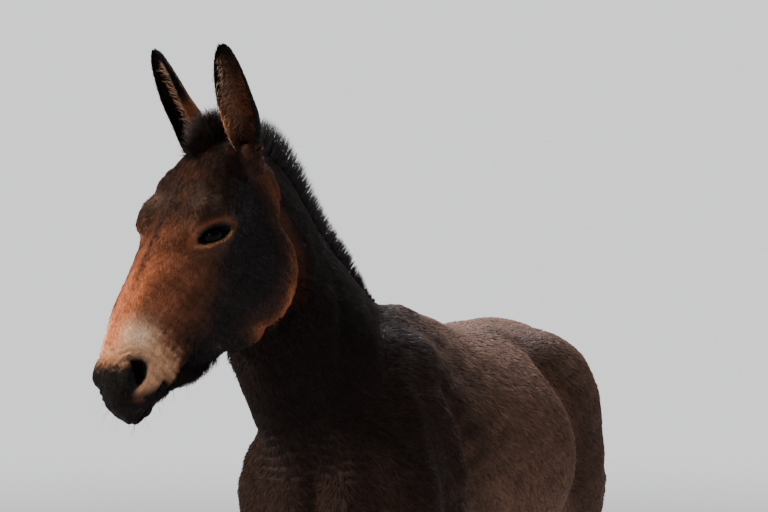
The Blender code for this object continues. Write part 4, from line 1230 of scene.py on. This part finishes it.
# Short hair that has lost its summer gloss: a soft sheen and a broad faint highlight
fur = marked_material("Short glossy hair", 0.72, 0.045)[0]
places = Places(spots_of(skin))
bare = np.zeros(len(spots))
for side in (1, -1):
    eye = places.eyes[side]
    ring = np.hypot(eye[:, 0] / 0.0385, eye[:, 1] / (lid_reach(side, eye[:, 1]) + 0.0035))
    bare = np.maximum(bare, (ring < 1) * (eye[:, 2] > -0.02))
mouth = peak(places.head[:, 1] - mouth_depth(places.head[:, 2]), 0.0035) * (places.head[:, 2] > 0.495)
bare = np.maximum(bare, mouth * places.on_head)
in_hoof = spots[:, 2] < 0.050
open_skin = (1 - bare) * (1 - in_hoof)


def face_sizes(where):
    """Sizes of the tufts on the head: small and flat, finest on the muzzle, longer under the jaw."""
    y, z = where.head[:, 1:].T
    muzzle = ramp(z, 0.40, 0.53)
    beard = ramp(-y - 1.2 * (0.42 - z), 0.20, 0.25) * span(z, 0.22, 0.34, 0.420, 0.460)
    brow = ramp(-z, -0.12, -0.02)
    length = 0.0085 - 0.0048 * muzzle + 0.011 * beard + 0.003 * brow
    width = 0.0019 - 0.0008 * muzzle + 0.0006 * beard
    lift = 0.16 + 0.20 * beard
    for eye in where.eyes.values():
        near = 1 - ramp(np.linalg.norm(eye[:, :2] / np.array([0.05, 0.035]), axis=1), 0.9, 1.4)
        near = near * (abs(eye[:, 2]) < 0.05)
        length = length * (1 - 0.5 * near)
        width = width * (1 - 0.35 * near)
    return length, width, lift


def body_sizes(where):
    """Sizes of the tufts on neck, trunk and legs."""
    feet = 1 - ramp(where.spots[:, 2], 0.10, 0.60)
    length = 0.021 - 0.003 * where.neck - 0.009 * feet
    width = 0.0040 - 0.0008 * where.neck - 0.0016 * feet
    lift = 0.13 + 0.05 * where.neck
    return length, width, lift


poll_to_lips = np.array(place.to_3x3() @ Vector((0, 0, 1)))
head_middle = np.array(place @ Vector((0, -0.13, -0.06)))
face_way = np.array(place.to_3x3() @ Vector((0, 1, 0)))


def head_chart(spots):
    """The unwrap of half the head."""
    return round_chart(spots, head_middle, poll_to_lips, face_way, 0.72, True)


def neck_chart(spots):
    """The unwrap of half the neck."""
    return round_chart(spots, (0, -0.25, 1.12), (-0.12, -0.62, 0.70), (0, 0.7, 0.7), 0.85, True)


def trunk_chart(spots):
    """The unwrap of half the trunk."""
    return round_chart(spots, (0, -0.60, 1.06), (0, 1, 0), (0, 0, 1), 1.60, True)


def leg_chart(spots):
    """Four narrow unwraps side by side, one for each leg."""
    chart = np.zeros((len(spots), 2))
    for number, (x, y) in enumerate(((0.115, -0.33), (-0.115, -0.33), (0.12, 0.64), (-0.12, 0.64))):
        mine = (np.sign(spots[:, 0]) == np.sign(x)) & ((spots[:, 1] > 0.15) == (y > 0))
        chart[mine] = round_chart(spots[mine], (x, y, 0), (0, 0, 1), (0, -1, 0), 0.95, False)
        chart[mine, 0] = 0.25 * number + 0.25 * chart[mine, 0]
    return chart


def ear_chart(spots):
    """Two unwraps side by side, one for each ear."""
    local = seen_from(place, spots)
    chart = np.zeros((len(spots), 2))
    for number, side in enumerate((1, -1)):
        mine = np.sign(local[:, 0]) == side
        ear = seen_from(place @ ear_frame(side), spots[mine])
        chart[mine] = round_chart(ear, (0, 0, -0.03), (0, 0, 1), (0, -1, 0), 0.30, False)
        chart[mine, 0] = 0.5 * number + 0.5 * chart[mine, 0]
    return chart


def ear_sizes(where):
    """Sizes of the tufts on the ears, all alike."""
    count = len(where.spots)
    return np.full(count, 0.0075), np.full(count, 0.0016), np.full(count, 0.14)


head_x = places.head[:, 0]
on_head = places.on_head * (1 - places.ear)
muzzle_finer = 1 + 1.3 * ramp(places.head[:, 2], 0.40, 0.53)
legs = places.leg * (1 - on_head)
trunk = (1 - places.leg) * (1 - np.clip(places.neck + places.on_head, 0, 1)) * open_skin
for word, side in (("left", 1), ("right", -1)):
    mine = ramp(side * head_x, -0.002, 0.002)
    weights = on_head * mine * open_skin * muzzle_finer
    coat_piece("coat_head_" + word, HEAD_TUFTS, weights, 41 + side, face_sizes, head_chart)
    mine = ramp(side * (spots[:, 0] + 0.10 * ramp(-spots[:, 1], 0.2, 0.7)), -0.002, 0.002)
    weights = places.neck * mine
    coat_piece("coat_neck_" + word, NECK_TUFTS, weights, 51 + side, body_sizes, neck_chart)
    for part, low, high in (("fore", -9, 0.20), ("rear", 0.20, 9)):
        within = (spots[:, 1] >= low) * (spots[:, 1] < high)
        weights = trunk * within * ramp(side * spots[:, 0], -0.002, 0.002)
        seed = 61 + side + 3 * (part == "rear")
        name = "coat_trunk_" + part + "_" + word
        coat_piece(name, TRUNK_TUFTS, weights, seed, body_sizes, trunk_chart)
for part, low, high in (("fore", -9, 0.15), ("hind", 0.15, 9)):
    within = (spots[:, 1] >= low) * (spots[:, 1] < high)
    weights = legs * within * open_skin
    seed = 71 + (part == "hind")
    coat_piece("coat_legs_" + part, LEG_TUFTS, weights, seed, body_sizes, leg_chart)
coat_piece("coat_ears", EAR_TUFTS, places.ear, 81, ear_sizes, ear_chart)


# Mane, forelock and tail
# Coarse black hair. A mule's mane stands up in a short thick brush from between the ears to the withers, its
# forelock is a bushy tuft, and its tail is haired all round the dock and hangs to below the hocks. Each hair
# shown is a thin closed blade, as wide as it must be to show.
MANE_HAIRS = 5600
FORELOCK_HAIRS = 1900
TAIL_HAIRS = 2500
ROOT_DEPTH = 0.004
MANE_SHARES = (0, 0.12, 0.30, 0.45, 0.60, 0.80, 0.92, 1)
MANE_HEIGHTS = (0.062, 0.086, 0.091, 0.078, 0.066, 0.056, 0.040, 0.012)
MANE_LINE = [
    (-0.104, -0.790, 1.742),
    (-0.105, -0.740, 1.750),
    (-0.106, -0.680, 1.742),
    (-0.105, -0.620, 1.732),
    (-0.103, -0.540, 1.706),
    (-0.093, -0.440, 1.645),
    (-0.078, -0.350, 1.556),
    (-0.060, -0.285, 1.487),
    (-0.036, -0.210, 1.417),
    (-0.012, -0.165, 1.385),
]
HAIR_BLACK = "171213"
HAIR_BROWN = "221714"


def blades(name, roots, ways, sizes, tones, chart, form, material=None):
    """Thin closed hairs of three sides. Each leaves its root along the first of its ways, bends over towards
    the second and lies flat along the third. The form is its number of segments, its curl and a seed."""
    rises, lies, wides = ways
    length, width = sizes
    segments, curl, seed = form
    draw = np.random.default_rng(seed)
    count = len(roots)
    rings, place_now = [], roots.copy()
    phase = draw.uniform(0, 6.3, (count, 1))
    rises, lies = unit(rises), unit(lies)
    for k in range(segments + 1):
        share = k / segments
        way = unit(rises * (1 - share) + lies * share)
        across = unit(wides - way * (way * wides).sum(axis=1)[:, None])
        flat = np.cross(way, across)
        wave = curl * (np.sin(phase + 5.0 * share) * across + np.cos(phase * 1.7 + 4.0 * share) * flat)
        if k == segments:
            rings.append(place_now[:, None, :])
            break
        half = (0.5 * width * (1 - 0.75 * share**1.5))[:, None]
        corners = [place_now + across * half, place_now - across * half, place_now + flat * half * 0.6]
        rings.append(np.stack(corners, axis=1))
        place_now = place_now + unit(way + wave) * (length / segments)[:, None]
    spots = np.concatenate(rings, axis=1).reshape(-1, 3)
    each = 3 * segments + 1
    faces = [(0, 1, 2)]
    for k in range(segments - 1):
        a = 3 * k
        for i in range(3):
            j = (i + 1) % 3
            faces += [(a + i, a + 3 + i, a + j), (a + j, a + 3 + i, a + 3 + j)]
    a = 3 * (segments - 1)
    faces += [(a + i, a + 3, a + (i + 1) % 3) for i in range(3)]
    faces = (np.arange(count)[:, None, None] * each + np.array(faces)).reshape(-1, 3)
    shares = np.append(np.repeat(np.arange(segments) / segments, 3), 1.0)
    shade = (0.7 + 0.5 * shares)[None, :, None] * draw.normal(1, 0.15, (count, 1, 1))
    tones = np.repeat(tones[:, None, :], each, axis=1) * np.clip(shade, 0.3, 2)
    turn = np.arange(each) % 3 * 2.1
    shift = np.stack([PATCH * np.cos(turn), PATCH * (2 * shares - 1)], axis=1)
    patches = (chart[:, None, :] + shift).reshape(-1, 2)
    return meshed(name, spots, faces, tones.reshape(-1, 3), patches, material or hair)


# Coarse black horse hair: a tighter highlight on each hair
hair = marked_material("Coarse black hair", 0.45, 0.09)[0]


def tones_of(codes, count, draw):
    """Colours drawn between two codes, one for each hair."""
    share = draw.random((count, 1)) ** 1.5
    return np.array(linear(codes[0])) * (1 - share) + np.array(linear(codes[1])) * share


def on_hide(starts, ways, otherwise):
    """The points where rays from the starts meet the hide, or the other points where they miss it."""
    found = otherwise.copy()
    for i, (start, way) in enumerate(zip(starts, ways)):
        hit = skin_tree.ray_cast(Vector(start), Vector(way))[0]
        if hit is not None:
            found[i] = hit
    return found


def mane():
    """Thousands of bristles on both sides of the crest, clumped a little and trimmed even."""
    draw = np.random.default_rng(101)
    count = MANE_HAIRS
    rows = through(MANE_LINE, 12)
    reach = np.concatenate([[0], np.cumsum(np.linalg.norm(np.diff(rows, axis=0), axis=1))])
    shares = draw.random(count)
    at = shares * reach[-1]
    line = np.stack([np.interp(at, reach, rows[:, k]) for k in range(3)], axis=1)
    tangents = np.gradient(rows, reach, axis=0)
    ahead = unit(np.stack([np.interp(at, reach, tangents[:, k]) for k in range(3)], axis=1))
    left = unit(np.array([1.0, 0, 0]) - ahead * ahead[:, :1])
    outs = unit(np.cross(left, ahead))
    half = np.interp(shares, (0, 0.08, 0.8, 1), (0.014, 0.017, 0.013, 0.006))
    offset = np.clip(draw.normal(0, 0.55, count), -1, 1) * half
    roots = on_hide(line + left * offset[:, None] + outs * 0.2, -outs, line)
    tall = np.interp(shares, MANE_SHARES, MANE_HEIGHTS)
    tall = tall - 0.16 * tall * (offset / half) ** 2
    clump = ripple(np.stack([at, offset * 3, np.zeros(count)], axis=1), 0.018, 102)[:, None]
    rises = outs + left * (offset / half * 0.30)[:, None] + ahead * draw.normal(0, 0.08, (count, 1))
    lies = outs + left * (offset / half * 0.08)[:, None] + ahead * (0.20 + 0.12 * clump)
    lies += left * 0.08 * clump
    lies += draw.normal(0, 0.06, (count, 3))
    length = tall * draw.uniform(0.86, 1.02, count) + 0.004
    chart = np.stack([0.05 + 0.9 * shares, 0.5 + 20 * offset], axis=1)
    tones = tones_of((HAIR_BLACK, HAIR_BROWN), count, draw)
    width = draw.uniform(0.0012, 0.0022, count)
    roots = roots - outs * ROOT_DEPTH
    return blades("mane", roots, (rises, lies, ahead), (length, width), tones, chart, (4, 0.05, 103))


def forelock():
    """The bushy tuft that stands between the ears and falls a little forward."""
    draw = np.random.default_rng(111)
    count = FORELOCK_HAIRS
    x = np.clip(draw.normal(0, 0.013, count), -0.028, 0.028)
    along = draw.random(count) ** 1.1
    turned = np.array(place.to_3x3())
    low = 0.030 * np.clip(0.25 - along, 0, 1) / 0.25 * draw.random(count)
    local = np.stack([x * (1 - 12 * low), -0.006 - 0.086 * along, 0.026 - 0.062 * along + low], axis=1)
    start = local @ turned.T + np.array(POLL)
    out = unit((turned @ np.array([0.0, 0.80, -0.60]))[None, :])[0]
    roots = on_hide(start + out * 0.3, np.tile(-out, (count, 1)), start)
    clump = ripple(local, 0.012, 112)
    spread = np.stack([6.0 * x, 0.15 - 0.1 * along, np.zeros(count)], axis=1)
    rises = out + (spread + draw.normal(0, 0.10, (count, 3))) @ turned.T
    fall = [4.0 * x + 0.45 * clump, 0.10 * (1 - along) + 0.2 * clump, 1.60 * (1 - along) ** 2]
    fall = np.stack(fall, axis=1)
    lies = out + (fall + draw.normal(0, 0.12, (count, 3))) @ turned.T
    length = np.interp(along, (0, 0.2, 0.6, 1), (0.034, 0.058, 0.076, 0.062))
    length *= draw.uniform(0.60, 1.12, count)
    length *= 1 - 0.30 * (x / 0.034) ** 2
    chart = np.stack([0.5 + 12 * x, 0.1 + 0.8 * along], axis=1)
    tones = tones_of((HAIR_BLACK, HAIR_BROWN), count, draw)
    width = draw.uniform(0.0014, 0.0026, count)
    wides = np.tile(turned[:, 0], (count, 1))
    roots = roots - out * ROOT_DEPTH
    return blades("forelock", roots, (rises, lies, wides), (length, width), tones, chart, (5, 0.07, 113))


def tail():
    """Long hair that leaves the dock and its core all round and hangs in loose overlapping strands."""
    draw = np.random.default_rng(121)
    count = TAIL_HAIRS
    rows = through(TAIL_CORE, 8)
    reach = draw.random(count) ** 1.6
    at = 3 + reach * (len(rows) - 5)
    index = at.astype(int)
    step = rows[np.minimum(index + 1, len(rows) - 1)] - rows[index]
    line = rows[index] + step * (at - index)[:, None]
    turn = draw.uniform(-math.pi, math.pi, count)
    along = unit(step[:, :3])
    out = np.stack([np.sin(turn), np.cos(turn), np.zeros(count)], axis=1)
    out = unit(out - along * (along * out).sum(axis=1)[:, None])
    roots = line[:, :3] + out * (line[:, 3] * 0.8)[:, None]
    wisp = ripple(np.stack([turn * 0.05, reach, np.zeros(count)], axis=1), 0.05, 122)
    down = np.array([0.0, -0.05, -1.0])
    level = np.clip(1 - reach / 0.45, 0, 1)[:, None]
    rises = (along * level + down * (1 - level)) * 0.9 + out * (0.26 - 0.10 * reach)[:, None]
    rises = rises + np.array([0, 0.08, 0]) + draw.normal(0, 0.03, (count, 3))
    lies = down - out * (0.07 + 0.03 * wisp)[:, None] + draw.normal(0, 0.03, (count, 3))
    bottom = 0.36 + 0.10 * draw.random(count) ** 2 + 0.05 * abs(wisp)
    longest = np.interp(reach, (0, 0.20, 0.45), (0.20, 0.34, 0.62))
    length = np.clip(line[:, 2] - bottom, 0.10, longest) * draw.uniform(0.75, 1.0, count)
    chart = np.stack([0.5 + 0.46 * turn / math.pi, 0.95 - 0.9 * reach], axis=1)
    tones = tones_of((HAIR_BLACK, HAIR_BROWN), count, draw)
    width = draw.uniform(0.0022, 0.0042, count)
    wides = np.stack([np.cos(turn), -np.sin(turn), np.zeros(count)], axis=1)
    return blades("tail_hair", roots, (rises, lies, wides), (length, width), tones, chart, (9, 0.05, 123))


def tail_core():
    """The fleshy end of the dock under the long hair, which nobody sees but through its gaps."""
    core = limb("tail_core", TAIL_CORE[2:], steps=5, sides=20)
    painted(core.data, np.tile(linear(HAIR_BLACK), (len(core.data.vertices), 1)))
    core.data.materials.append(hide)
    return core


tail_hair = home(tail())
core = home(tail_core())
for piece in (home(mane()), home(forelock()), tail_hair, core):
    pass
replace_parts(tail_hair, "tail")
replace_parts(core, "tail")


# Hair of the ears, lashes, beard and whiskers
# Long pale curly hair fills the mule's ears. Stiff black lashes stand on the upper lids, coarse dark hair
# hangs under the jaw, single whiskers stand on lips and chin, and a little feather hides the back of each
# fetlock.
EAR_CREAM = "a08270"
EAR_DUSK = "2c1e18"
LASH_BLACK = "0d0b0b"
BEARD_BLACK = "0e0b0b"
BEARD_BROWN = "221815"
WHISKER = "2a2220"
EAR_HAIRS = 2600
LASHES = (80, 110)
BEARD_HAIRS = 3000
WHISKERS = 90
FEATHER_HAIRS = 3000


def on_skin(count, weights, seed):
    """Roots on the skin with their ways out, their places and the lie of the coat there."""
    roots, outs = scattered(count, weights, seed)
    where = Places(roots)
    return roots, outs, where, lie_of_coat(where, outs)


def ear_hair():
    """Curly hair in both ears, longest along the inner edge and sweeping across the opening."""
    ear_weights = np.zeros(len(spots))
    for side, ear in places.ears.items():
        mine = places.ear * (np.sign(places.head[:, 0]) == side)
        axes = np.array((place @ ear_frame(side)).to_3x3())
        faces_in = ramp(skin_outs @ axes[:, 1], 0.05, 0.4)
        share = ear[:, 2] / EAR_LENGTH
        ear_weights += mine * faces_in * span(share, 0.10, 0.22, 0.78, 0.92)
    roots, outs, where, lies = on_skin(EAR_HAIRS, ear_weights, 131)
    draw = np.random.default_rng(132)
    count = len(roots)
    rises, ways, wides = np.zeros((count, 3)), np.zeros((count, 3)), np.zeros((count, 3))
    edge = np.zeros(count)
    for side, ear in where.ears.items():
        mine = np.sign(where.head[:, 0]) == side
        axes = np.array((place @ ear_frame(side)).to_3x3())
        x = ear[mine, 0]
        edge[mine] = side * x / 0.034
        outward = np.outer(x / 0.034, axes[:, 0])
        rises[mine] = outs[mine] * 0.5 + axes[:, 1] * 0.6 + axes[:, 2] * 0.5 - outward * 0.5
        ways[mine] = axes[:, 2] * 0.8 + axes[:, 1] * 0.25 - outward * 0.7
        wides[mine] = axes[:, 0]
    rises += draw.normal(0, 0.2, (count, 3))
    ways += draw.normal(0, 0.25, (count, 3))
    length = (0.016 + 0.006 * np.clip(edge, -1, 1)) * draw.uniform(0.6, 1.2, count)
    pale = ramp(edge, -0.3, 0.9)[:, None]
    tones = np.array(linear(EAR_CREAM)) * pale + np.array(linear(EAR_DUSK)) * (1 - pale)
    tones *= draw.uniform(0.45, 1.15, (count, 1))
    width = draw.uniform(0.0009, 0.0016, count)
    ways = (rises, ways, wides)
    return blades("ear_hair", roots, ways, (length, width), tones, ear_chart(roots), (5, 0.30, 133), fur)


def lashes():
    """Black lashes on the upper lids, and shorter ones on the lower lids."""
    draw = np.random.default_rng(141)
    roots, rises, ways, length = [], [], [], []
    for side in (1, -1):
        frame_here = place @ eye_frame(side)
        turned = frame_here.to_3x3()
        for i in range(LASHES[1]):
            upper = i < LASHES[0]
            lid = -side if upper else side
            x, y = almond(side, [draw.uniform(0.10, 0.90) * math.pi * lid])[0]
            y += lid * (0.0020 if upper else 0.0016)
            z = math.sqrt(max((EYE_RADIUS + 0.0030) ** 2 - x * x - y * y, 0.0001))
            roots.append(frame_here @ Vector((x, y, z)))
            rises.append(turned @ Vector((x * 9, lid * (-0.3 if upper else 0.4), 1.0)))
            ways.append(turned @ Vector((x * 22, lid * (0.10 if upper else 0.9), 0.75)))
            length.append((0.017 if upper else 0.009) * draw.uniform(0.7, 1.1))
    roots, rises, ways = (np.array(rows) for rows in (roots, rises, ways))
    count = len(roots)
    tones = np.tile(linear(LASH_BLACK), (count, 1))
    wides = np.tile([0.3, 0.2, 1.0], (count, 1))
    sizes = (np.array(length), np.full(count, 0.0008))
    return blades("lashes", roots, (rises, ways, wides), sizes, tones, head_chart(roots), (4, 0.02, 142))


def beard():
    """Coarse hair under the jaw and chin, and a thin edging along the lower lip."""
    y, z = places.head[:, 1:].T
    under = ramp(-y - (0.42 - z), 0.195, 0.225) * span(z, 0.24, 0.32, 0.455, 0.490)
    under = np.maximum(under, ramp(-y, 0.146, 0.162) * span(z, 0.42, 0.46, 0.52, 0.56) * 0.6)
    roots, outs, where, lies = on_skin(BEARD_HAIRS, under * places.on_head * open_skin, 151)
    draw = np.random.default_rng(152)
    count = len(roots)
    down = np.array([0.0, 0.0, -1.0])
    ways = lies * 0.8 + down * 0.8 + draw.normal(0, 0.15, (count, 3))
    length = draw.uniform(0.014, 0.030, count) * (1 - 0.6 * ramp(where.head[:, 2], 0.43, 0.48))
    tones = tones_of((BEARD_BLACK, BEARD_BROWN), count, draw)
    width = draw.uniform(0.0009, 0.0016, count)
    ways = (outs + lies * 0.8, ways, np.cross(outs, lies))
    return blades("beard", roots, ways, (length, width), tones, head_chart(roots), (4, 0.05, 153))


def whiskers():
    """Single stiff whiskers on lips and chin."""
    y, z = places.head[:, 1:].T
    lips = ramp(z, 0.47, 0.56) + 1.5 * ramp(-y, 0.10, 0.14) * ramp(z, 0.42, 0.48)
    roots, outs, where, lies = on_skin(WHISKERS, lips * places.on_head * open_skin, 161)
    draw = np.random.default_rng(162)
    count = len(roots)
    ways = outs + lies * 0.6 + np.array([0, 0, -0.5]) + draw.normal(0, 0.15, (count, 3))
    length = draw.uniform(0.018, 0.045, count)
    tones = np.tile(linear(WHISKER), (count, 1))
    width = np.full(count, 0.0007)
    ways = (outs + 0.2 * lies, ways, np.cross(outs, lies))
    return blades("whiskers", roots, ways, (length, width), tones, head_chart(roots), (5, 0.03, 163))


def feather():
    """Longer hair at the back of the fetlocks and round the coronets."""
    z = spots[:, 2]
    back = ramp(skin_outs[:, 1], 0.1, 0.7)
    fetlock = back * span(z, 0.13, 0.16, 0.20, 0.25)
    coronet = span(z, 0.052, 0.060, 0.085, 0.100)
    roots, outs, where, lies = on_skin(FEATHER_HAIRS, (fetlock * 1.4 + coronet * 1.2) * (z < 0.3), 171)
    draw = np.random.default_rng(172)
    count = len(roots)
    long = ramp(roots[:, 2], 0.11, 0.14)
    length = (0.014 + 0.016 * long) * draw.uniform(0.7, 1.1, count)
    ways = lies + np.array([0, 0.15, -0.9]) + draw.normal(0, 0.10, (count, 3))
    tones = tones_of((LEG_BLACK, HAIR_BROWN), count, draw)
    width = draw.uniform(0.0014, 0.0024, count)
    ways = (outs * 0.5 + lies, ways, np.cross(outs, lies))
    return blades("feather", roots, ways, (length, width), tones, leg_chart(roots), (3, 0.04, 173))


skin_outs = outs_of(skin)
home(ear_hair())
for piece in (lashes(), beard(), whiskers()):
    home(piece)
home(feather())


# Eyes
# Wet dark brown eyeballs with a slightly raised cornea and a wide level pupil, each a little under the
# margins of its lids.
IRIS_BROWN = "0c0604"
PUPIL = "050506"
SCLERA = "140e0c"
IRIS_RADIUS = 0.0195
PUPIL_HALF = (0.0125, 0.0065)


# Living eye: a smooth wet film over dark tissue, so the studio's lights mirror sharply in it
wet_eye, _, eye_shader, _ = marked_material("Wet eye", 0.03, 0.10)
eye_shader.inputs["IOR"].default_value = 1.376
for word, side in (("left", 1), ("right", -1)):
    ball = bulge((0, 0, 0), [1, 1, 1], fine=4)
    ball.name = ball.data.name = "eyeball_" + word
    points = spots_of(ball)
    axis_reach = np.hypot(points[:, 0], points[:, 1])
    front = points[:, 2] > 0
    cornea = front * (1 - ramp(axis_reach, 0.10, 0.95))
    scale = EYE_RADIUS * (0.992 + 0.008 * cornea)
    x, y = points[:, 0] * EYE_RADIUS, points[:, 1] * EYE_RADIUS
    reach = np.hypot(x, y)
    tones = np.tile(linear(SCLERA), (len(points), 1))
    tones = layered(tones, [(IRIS_BROWN, front * (1 - ramp(reach, IRIS_RADIUS - 0.0015, IRIS_RADIUS)))])
    turn = np.arctan2(y, x)
    streaks = 1 + 0.35 * np.sin(turn * 37) * np.sin(turn * 23 + 1.0)
    tones *= np.where(reach < IRIS_RADIUS, streaks, 1)[:, None]
    pupil = np.hypot(x / PUPIL_HALF[0], y / PUPIL_HALF[1])
    limbus = span(reach - IRIS_RADIUS, -0.0035, 0.0, 0.0, 0.002)
    tones = layered(tones, [(PUPIL, front * (1 - ramp(pupil, 0.92, 1.05))), (PUPIL, front * limbus)])
    ball.data.vertices.foreach_set("co", (points * scale[:, None]).ravel())
    ball.data.transform(place @ eye_frame(side))
    painted(ball.data, tones)
    ball.data.materials.append(wet_eye)
    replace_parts(home(ball), "eye_" + word)


# Hooves
# Narrow upright hooves of dull dark horn, with faint rings of growth, a paler band under the coronet and a
# darker band along the ground edge. Each fills its CAD node's place, closed over the flat sole.
HOOF_TOE_HEIGHT = 0.078
HOOF_HEEL_HEIGHT = 0.045
FORE_HOOF = (0.110, -0.381)
HIND_HOOF = (0.115, 0.608)
HORN = "332e2a"
HORN_PALE = "54493f"
HORN_DARK = "201c1a"


def hoof_wall(centre):
    """A hoof from the coronet down: upright, round at the toe, flatter at the heel, ringed by its growth."""
    # share of the height, half width, reach to the toe, reach to the heel
    stations = [
        (0.00, 0.0470, 0.0700, 0.0420),
        (0.03, 0.0490, 0.0722, 0.0445),
        (0.10, 0.0496, 0.0718, 0.0448),
        (0.50, 0.0458, 0.0598, 0.0428),
        (0.90, 0.0408, 0.0462, 0.0402),
        (1.00, 0.0385, 0.0410, 0.0380),
    ]
    slope = (HOOF_TOE_HEIGHT - HOOF_HEEL_HEIGHT) / 0.08
    rings = []
    for share, half, toe, heel in through(stations, 6):
        swell = 1 + 0.006 * math.sin(share * 52) * (share > 0.08)
        ring = []
        for t in np.linspace(0, 2 * math.pi, 56, endpoint=False):
            ahead = math.cos(t)
            reach = toe * ahead if ahead > 0 else heel * math.copysign(abs(ahead) ** 0.7, ahead)
            x = centre[0] + half * swell * math.sin(t)
            y = centre[1] - reach * swell
            top = HOOF_TOE_HEIGHT - (y - centre[1] + 0.04) * slope
            ring.append((x, y, share * top))
        rings.append(ring)
    return lofted("hoof", rings)


# Dull weathered horn: fine streaks run down the wall, drawn out eight times along it
streaks = (1.0, 1.0, 0.12)
horn = grained_material("Weathered horn", 0.58, 0.5, (420.0, 2.0), (0.65, 1.35), (0.4, 0.0004), streaks)
for word, side in (("left", 1), ("right", -1)):
    for kind, (x, y) in (("fore", FORE_HOOF), ("hind", HIND_HOOF)):
        wall = hoof_wall((side * x, y))
        wall.name = wall.data.name = "horn_" + kind + "_" + word
        points = spots_of(wall)
        pale = (HORN_PALE, ramp(points[:, 2], 0.040, 0.070) * 0.5)
        ground_band = (HORN_DARK, (1 - ramp(points[:, 2], 0.000, 0.014)) * 0.6)
        tones = layered(np.tile(linear(HORN), (len(points), 1)), [pale, ground_band])
        tones *= (1 + 0.12 * np.sin(points[:, 2] * 900))[:, None]
        painted(wall.data, tones)
        wall.data.materials.append(horn)
        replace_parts(home(wall), "hoof_" + kind + "_" + word)

# The skin goes home last, because all hair is rooted on it where it was modelled
home(skin)
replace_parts(skin, "head", "neck", "torso", "foreleg_left", "foreleg_right",
            "hindleg_left", "hindleg_right", "ear_left", "ear_right")


# Floor, light and camera
# A pale matt studio floor that fades into evenly lit walls, a warm key from the left of the picture, a
# soft top light and a weak fill, seen from where the photo was taken: eye height, 24 degrees round to the
# mule's left.
CAMERA_SIDE = math.radians(24)
CAMERA_DISTANCE = 8.1
CAMERA_HEIGHT = 1.72
CAMERA_TILT = math.radians(1.65)
CAMERA_AIM = Vector((0.02, -0.18, 0))
CAMERA_LENS = 172.3
BACKDROP = "e6e7e9"
BACKDROP_GLOW = 1.45
SKY_GLOW = 0.22


def soft_light(name, power, size, spot, aim, tint):
    """A square soft light that faces a point."""
    light = bpy.data.lights.new(name, "AREA")
    light.energy = power
    light.size = size
    light.color = linear(tint)
    lamp = bpy.data.objects.new(name, light)
    lamp.location = spot
    lamp.rotation_euler = (Vector(aim) - Vector(spot)).to_track_quat("-Z", "Y").to_euler()
    bpy.context.scene.collection.objects.link(lamp)


bpy.ops.object.select_all(action="DESELECT")
bpy.ops.mesh.primitive_circle_add(vertices=128, radius=60, fill_type="NGON", location=(0, 0, 0))
floor = bpy.context.object
floor.name = floor.data.name = "studio_floor"
floor_finish, tree, shader = shader_of("Matt painted studio floor")
where = noded(tree, "ShaderNodeTexCoord")
flat = noded(tree, "ShaderNodeVectorMath", [(0, where.outputs["Object"])], operation="LENGTH")
far = noded(tree, "ShaderNodeMapRange", [("Value", flat.outputs["Value"])], interpolation_type="SMOOTHSTEP")
far.inputs["From Min"].default_value = 3.0
far.inputs["From Max"].default_value = 13.0
tone = noded(tree, "ShaderNodeMix", [("Factor", far.outputs["Result"])], data_type="RGBA")
tone.inputs["A"].default_value = (*linear("e9e7e3"), 1)
tone.inputs["B"].default_value = (0, 0, 0, 1)
glow = noded(tree, "ShaderNodeMath", [(0, far.outputs["Result"])], operation="MULTIPLY")
glow.inputs[1].default_value = BACKDROP_GLOW
tree.links.new(tone.outputs["Result"], shader.inputs["Base Color"])
tree.links.new(glow.outputs["Value"], shader.inputs["Emission Strength"])
shader.inputs["Emission Color"].default_value = (*linear(BACKDROP), 1)
shader.inputs["Roughness"].default_value = 0.9
shader.inputs["Specular IOR Level"].default_value = 0.0
floor.data.materials.append(floor_finish)

soft_light("key", 700, 1.8, (-4.2, -4.0, 3.7), (0, -0.6, 1.3), "ffead6")
soft_light("top", 520, 3.0, (-0.8, 2.4, 4.6), (0, 0.1, 1.2), "f3f6ff")
soft_light("fill", 36, 1.0, (2.2, -6.0, 4.6), (0, -0.3, 1.3), "f6f4f0")

# The studio's walls glow evenly all round, and its ceiling is dim
world = bpy.data.worlds.new("studio")
bpy.context.scene.world = world
world.use_nodes = True
tree = world.node_tree
where = noded(tree, "ShaderNodeTexCoord")
height = noded(tree, "ShaderNodeSeparateXYZ", [("Vector", where.outputs["Generated"])])
walls = noded(tree, "ShaderNodeMapRange", [("Value", height.outputs["Z"])], interpolation_type="SMOOTHSTEP")
walls.inputs["From Min"].default_value = 0.10
walls.inputs["From Max"].default_value = 0.45
walls.inputs["To Min"].default_value = BACKDROP_GLOW
walls.inputs["To Max"].default_value = SKY_GLOW
tree.nodes["Background"].inputs["Color"].default_value = (*linear(BACKDROP), 1)
tree.links.new(walls.outputs["Result"], tree.nodes["Background"].inputs["Strength"])

camera = bpy.data.objects.new("camera", bpy.data.cameras.new("camera"))
camera.data.lens = CAMERA_LENS
camera.data.clip_end = 100
camera.location = CAMERA_AIM + CAMERA_DISTANCE * Vector((math.sin(CAMERA_SIDE), -math.cos(CAMERA_SIDE), 0))
camera.location.z = CAMERA_HEIGHT
camera.location += Vector((MOVE.x, MOVE.y, 0))
camera.rotation_euler = (math.pi / 2 - CAMERA_TILT, 0, CAMERA_SIDE)
bpy.context.scene.collection.objects.link(camera)
bpy.context.scene.camera = camera
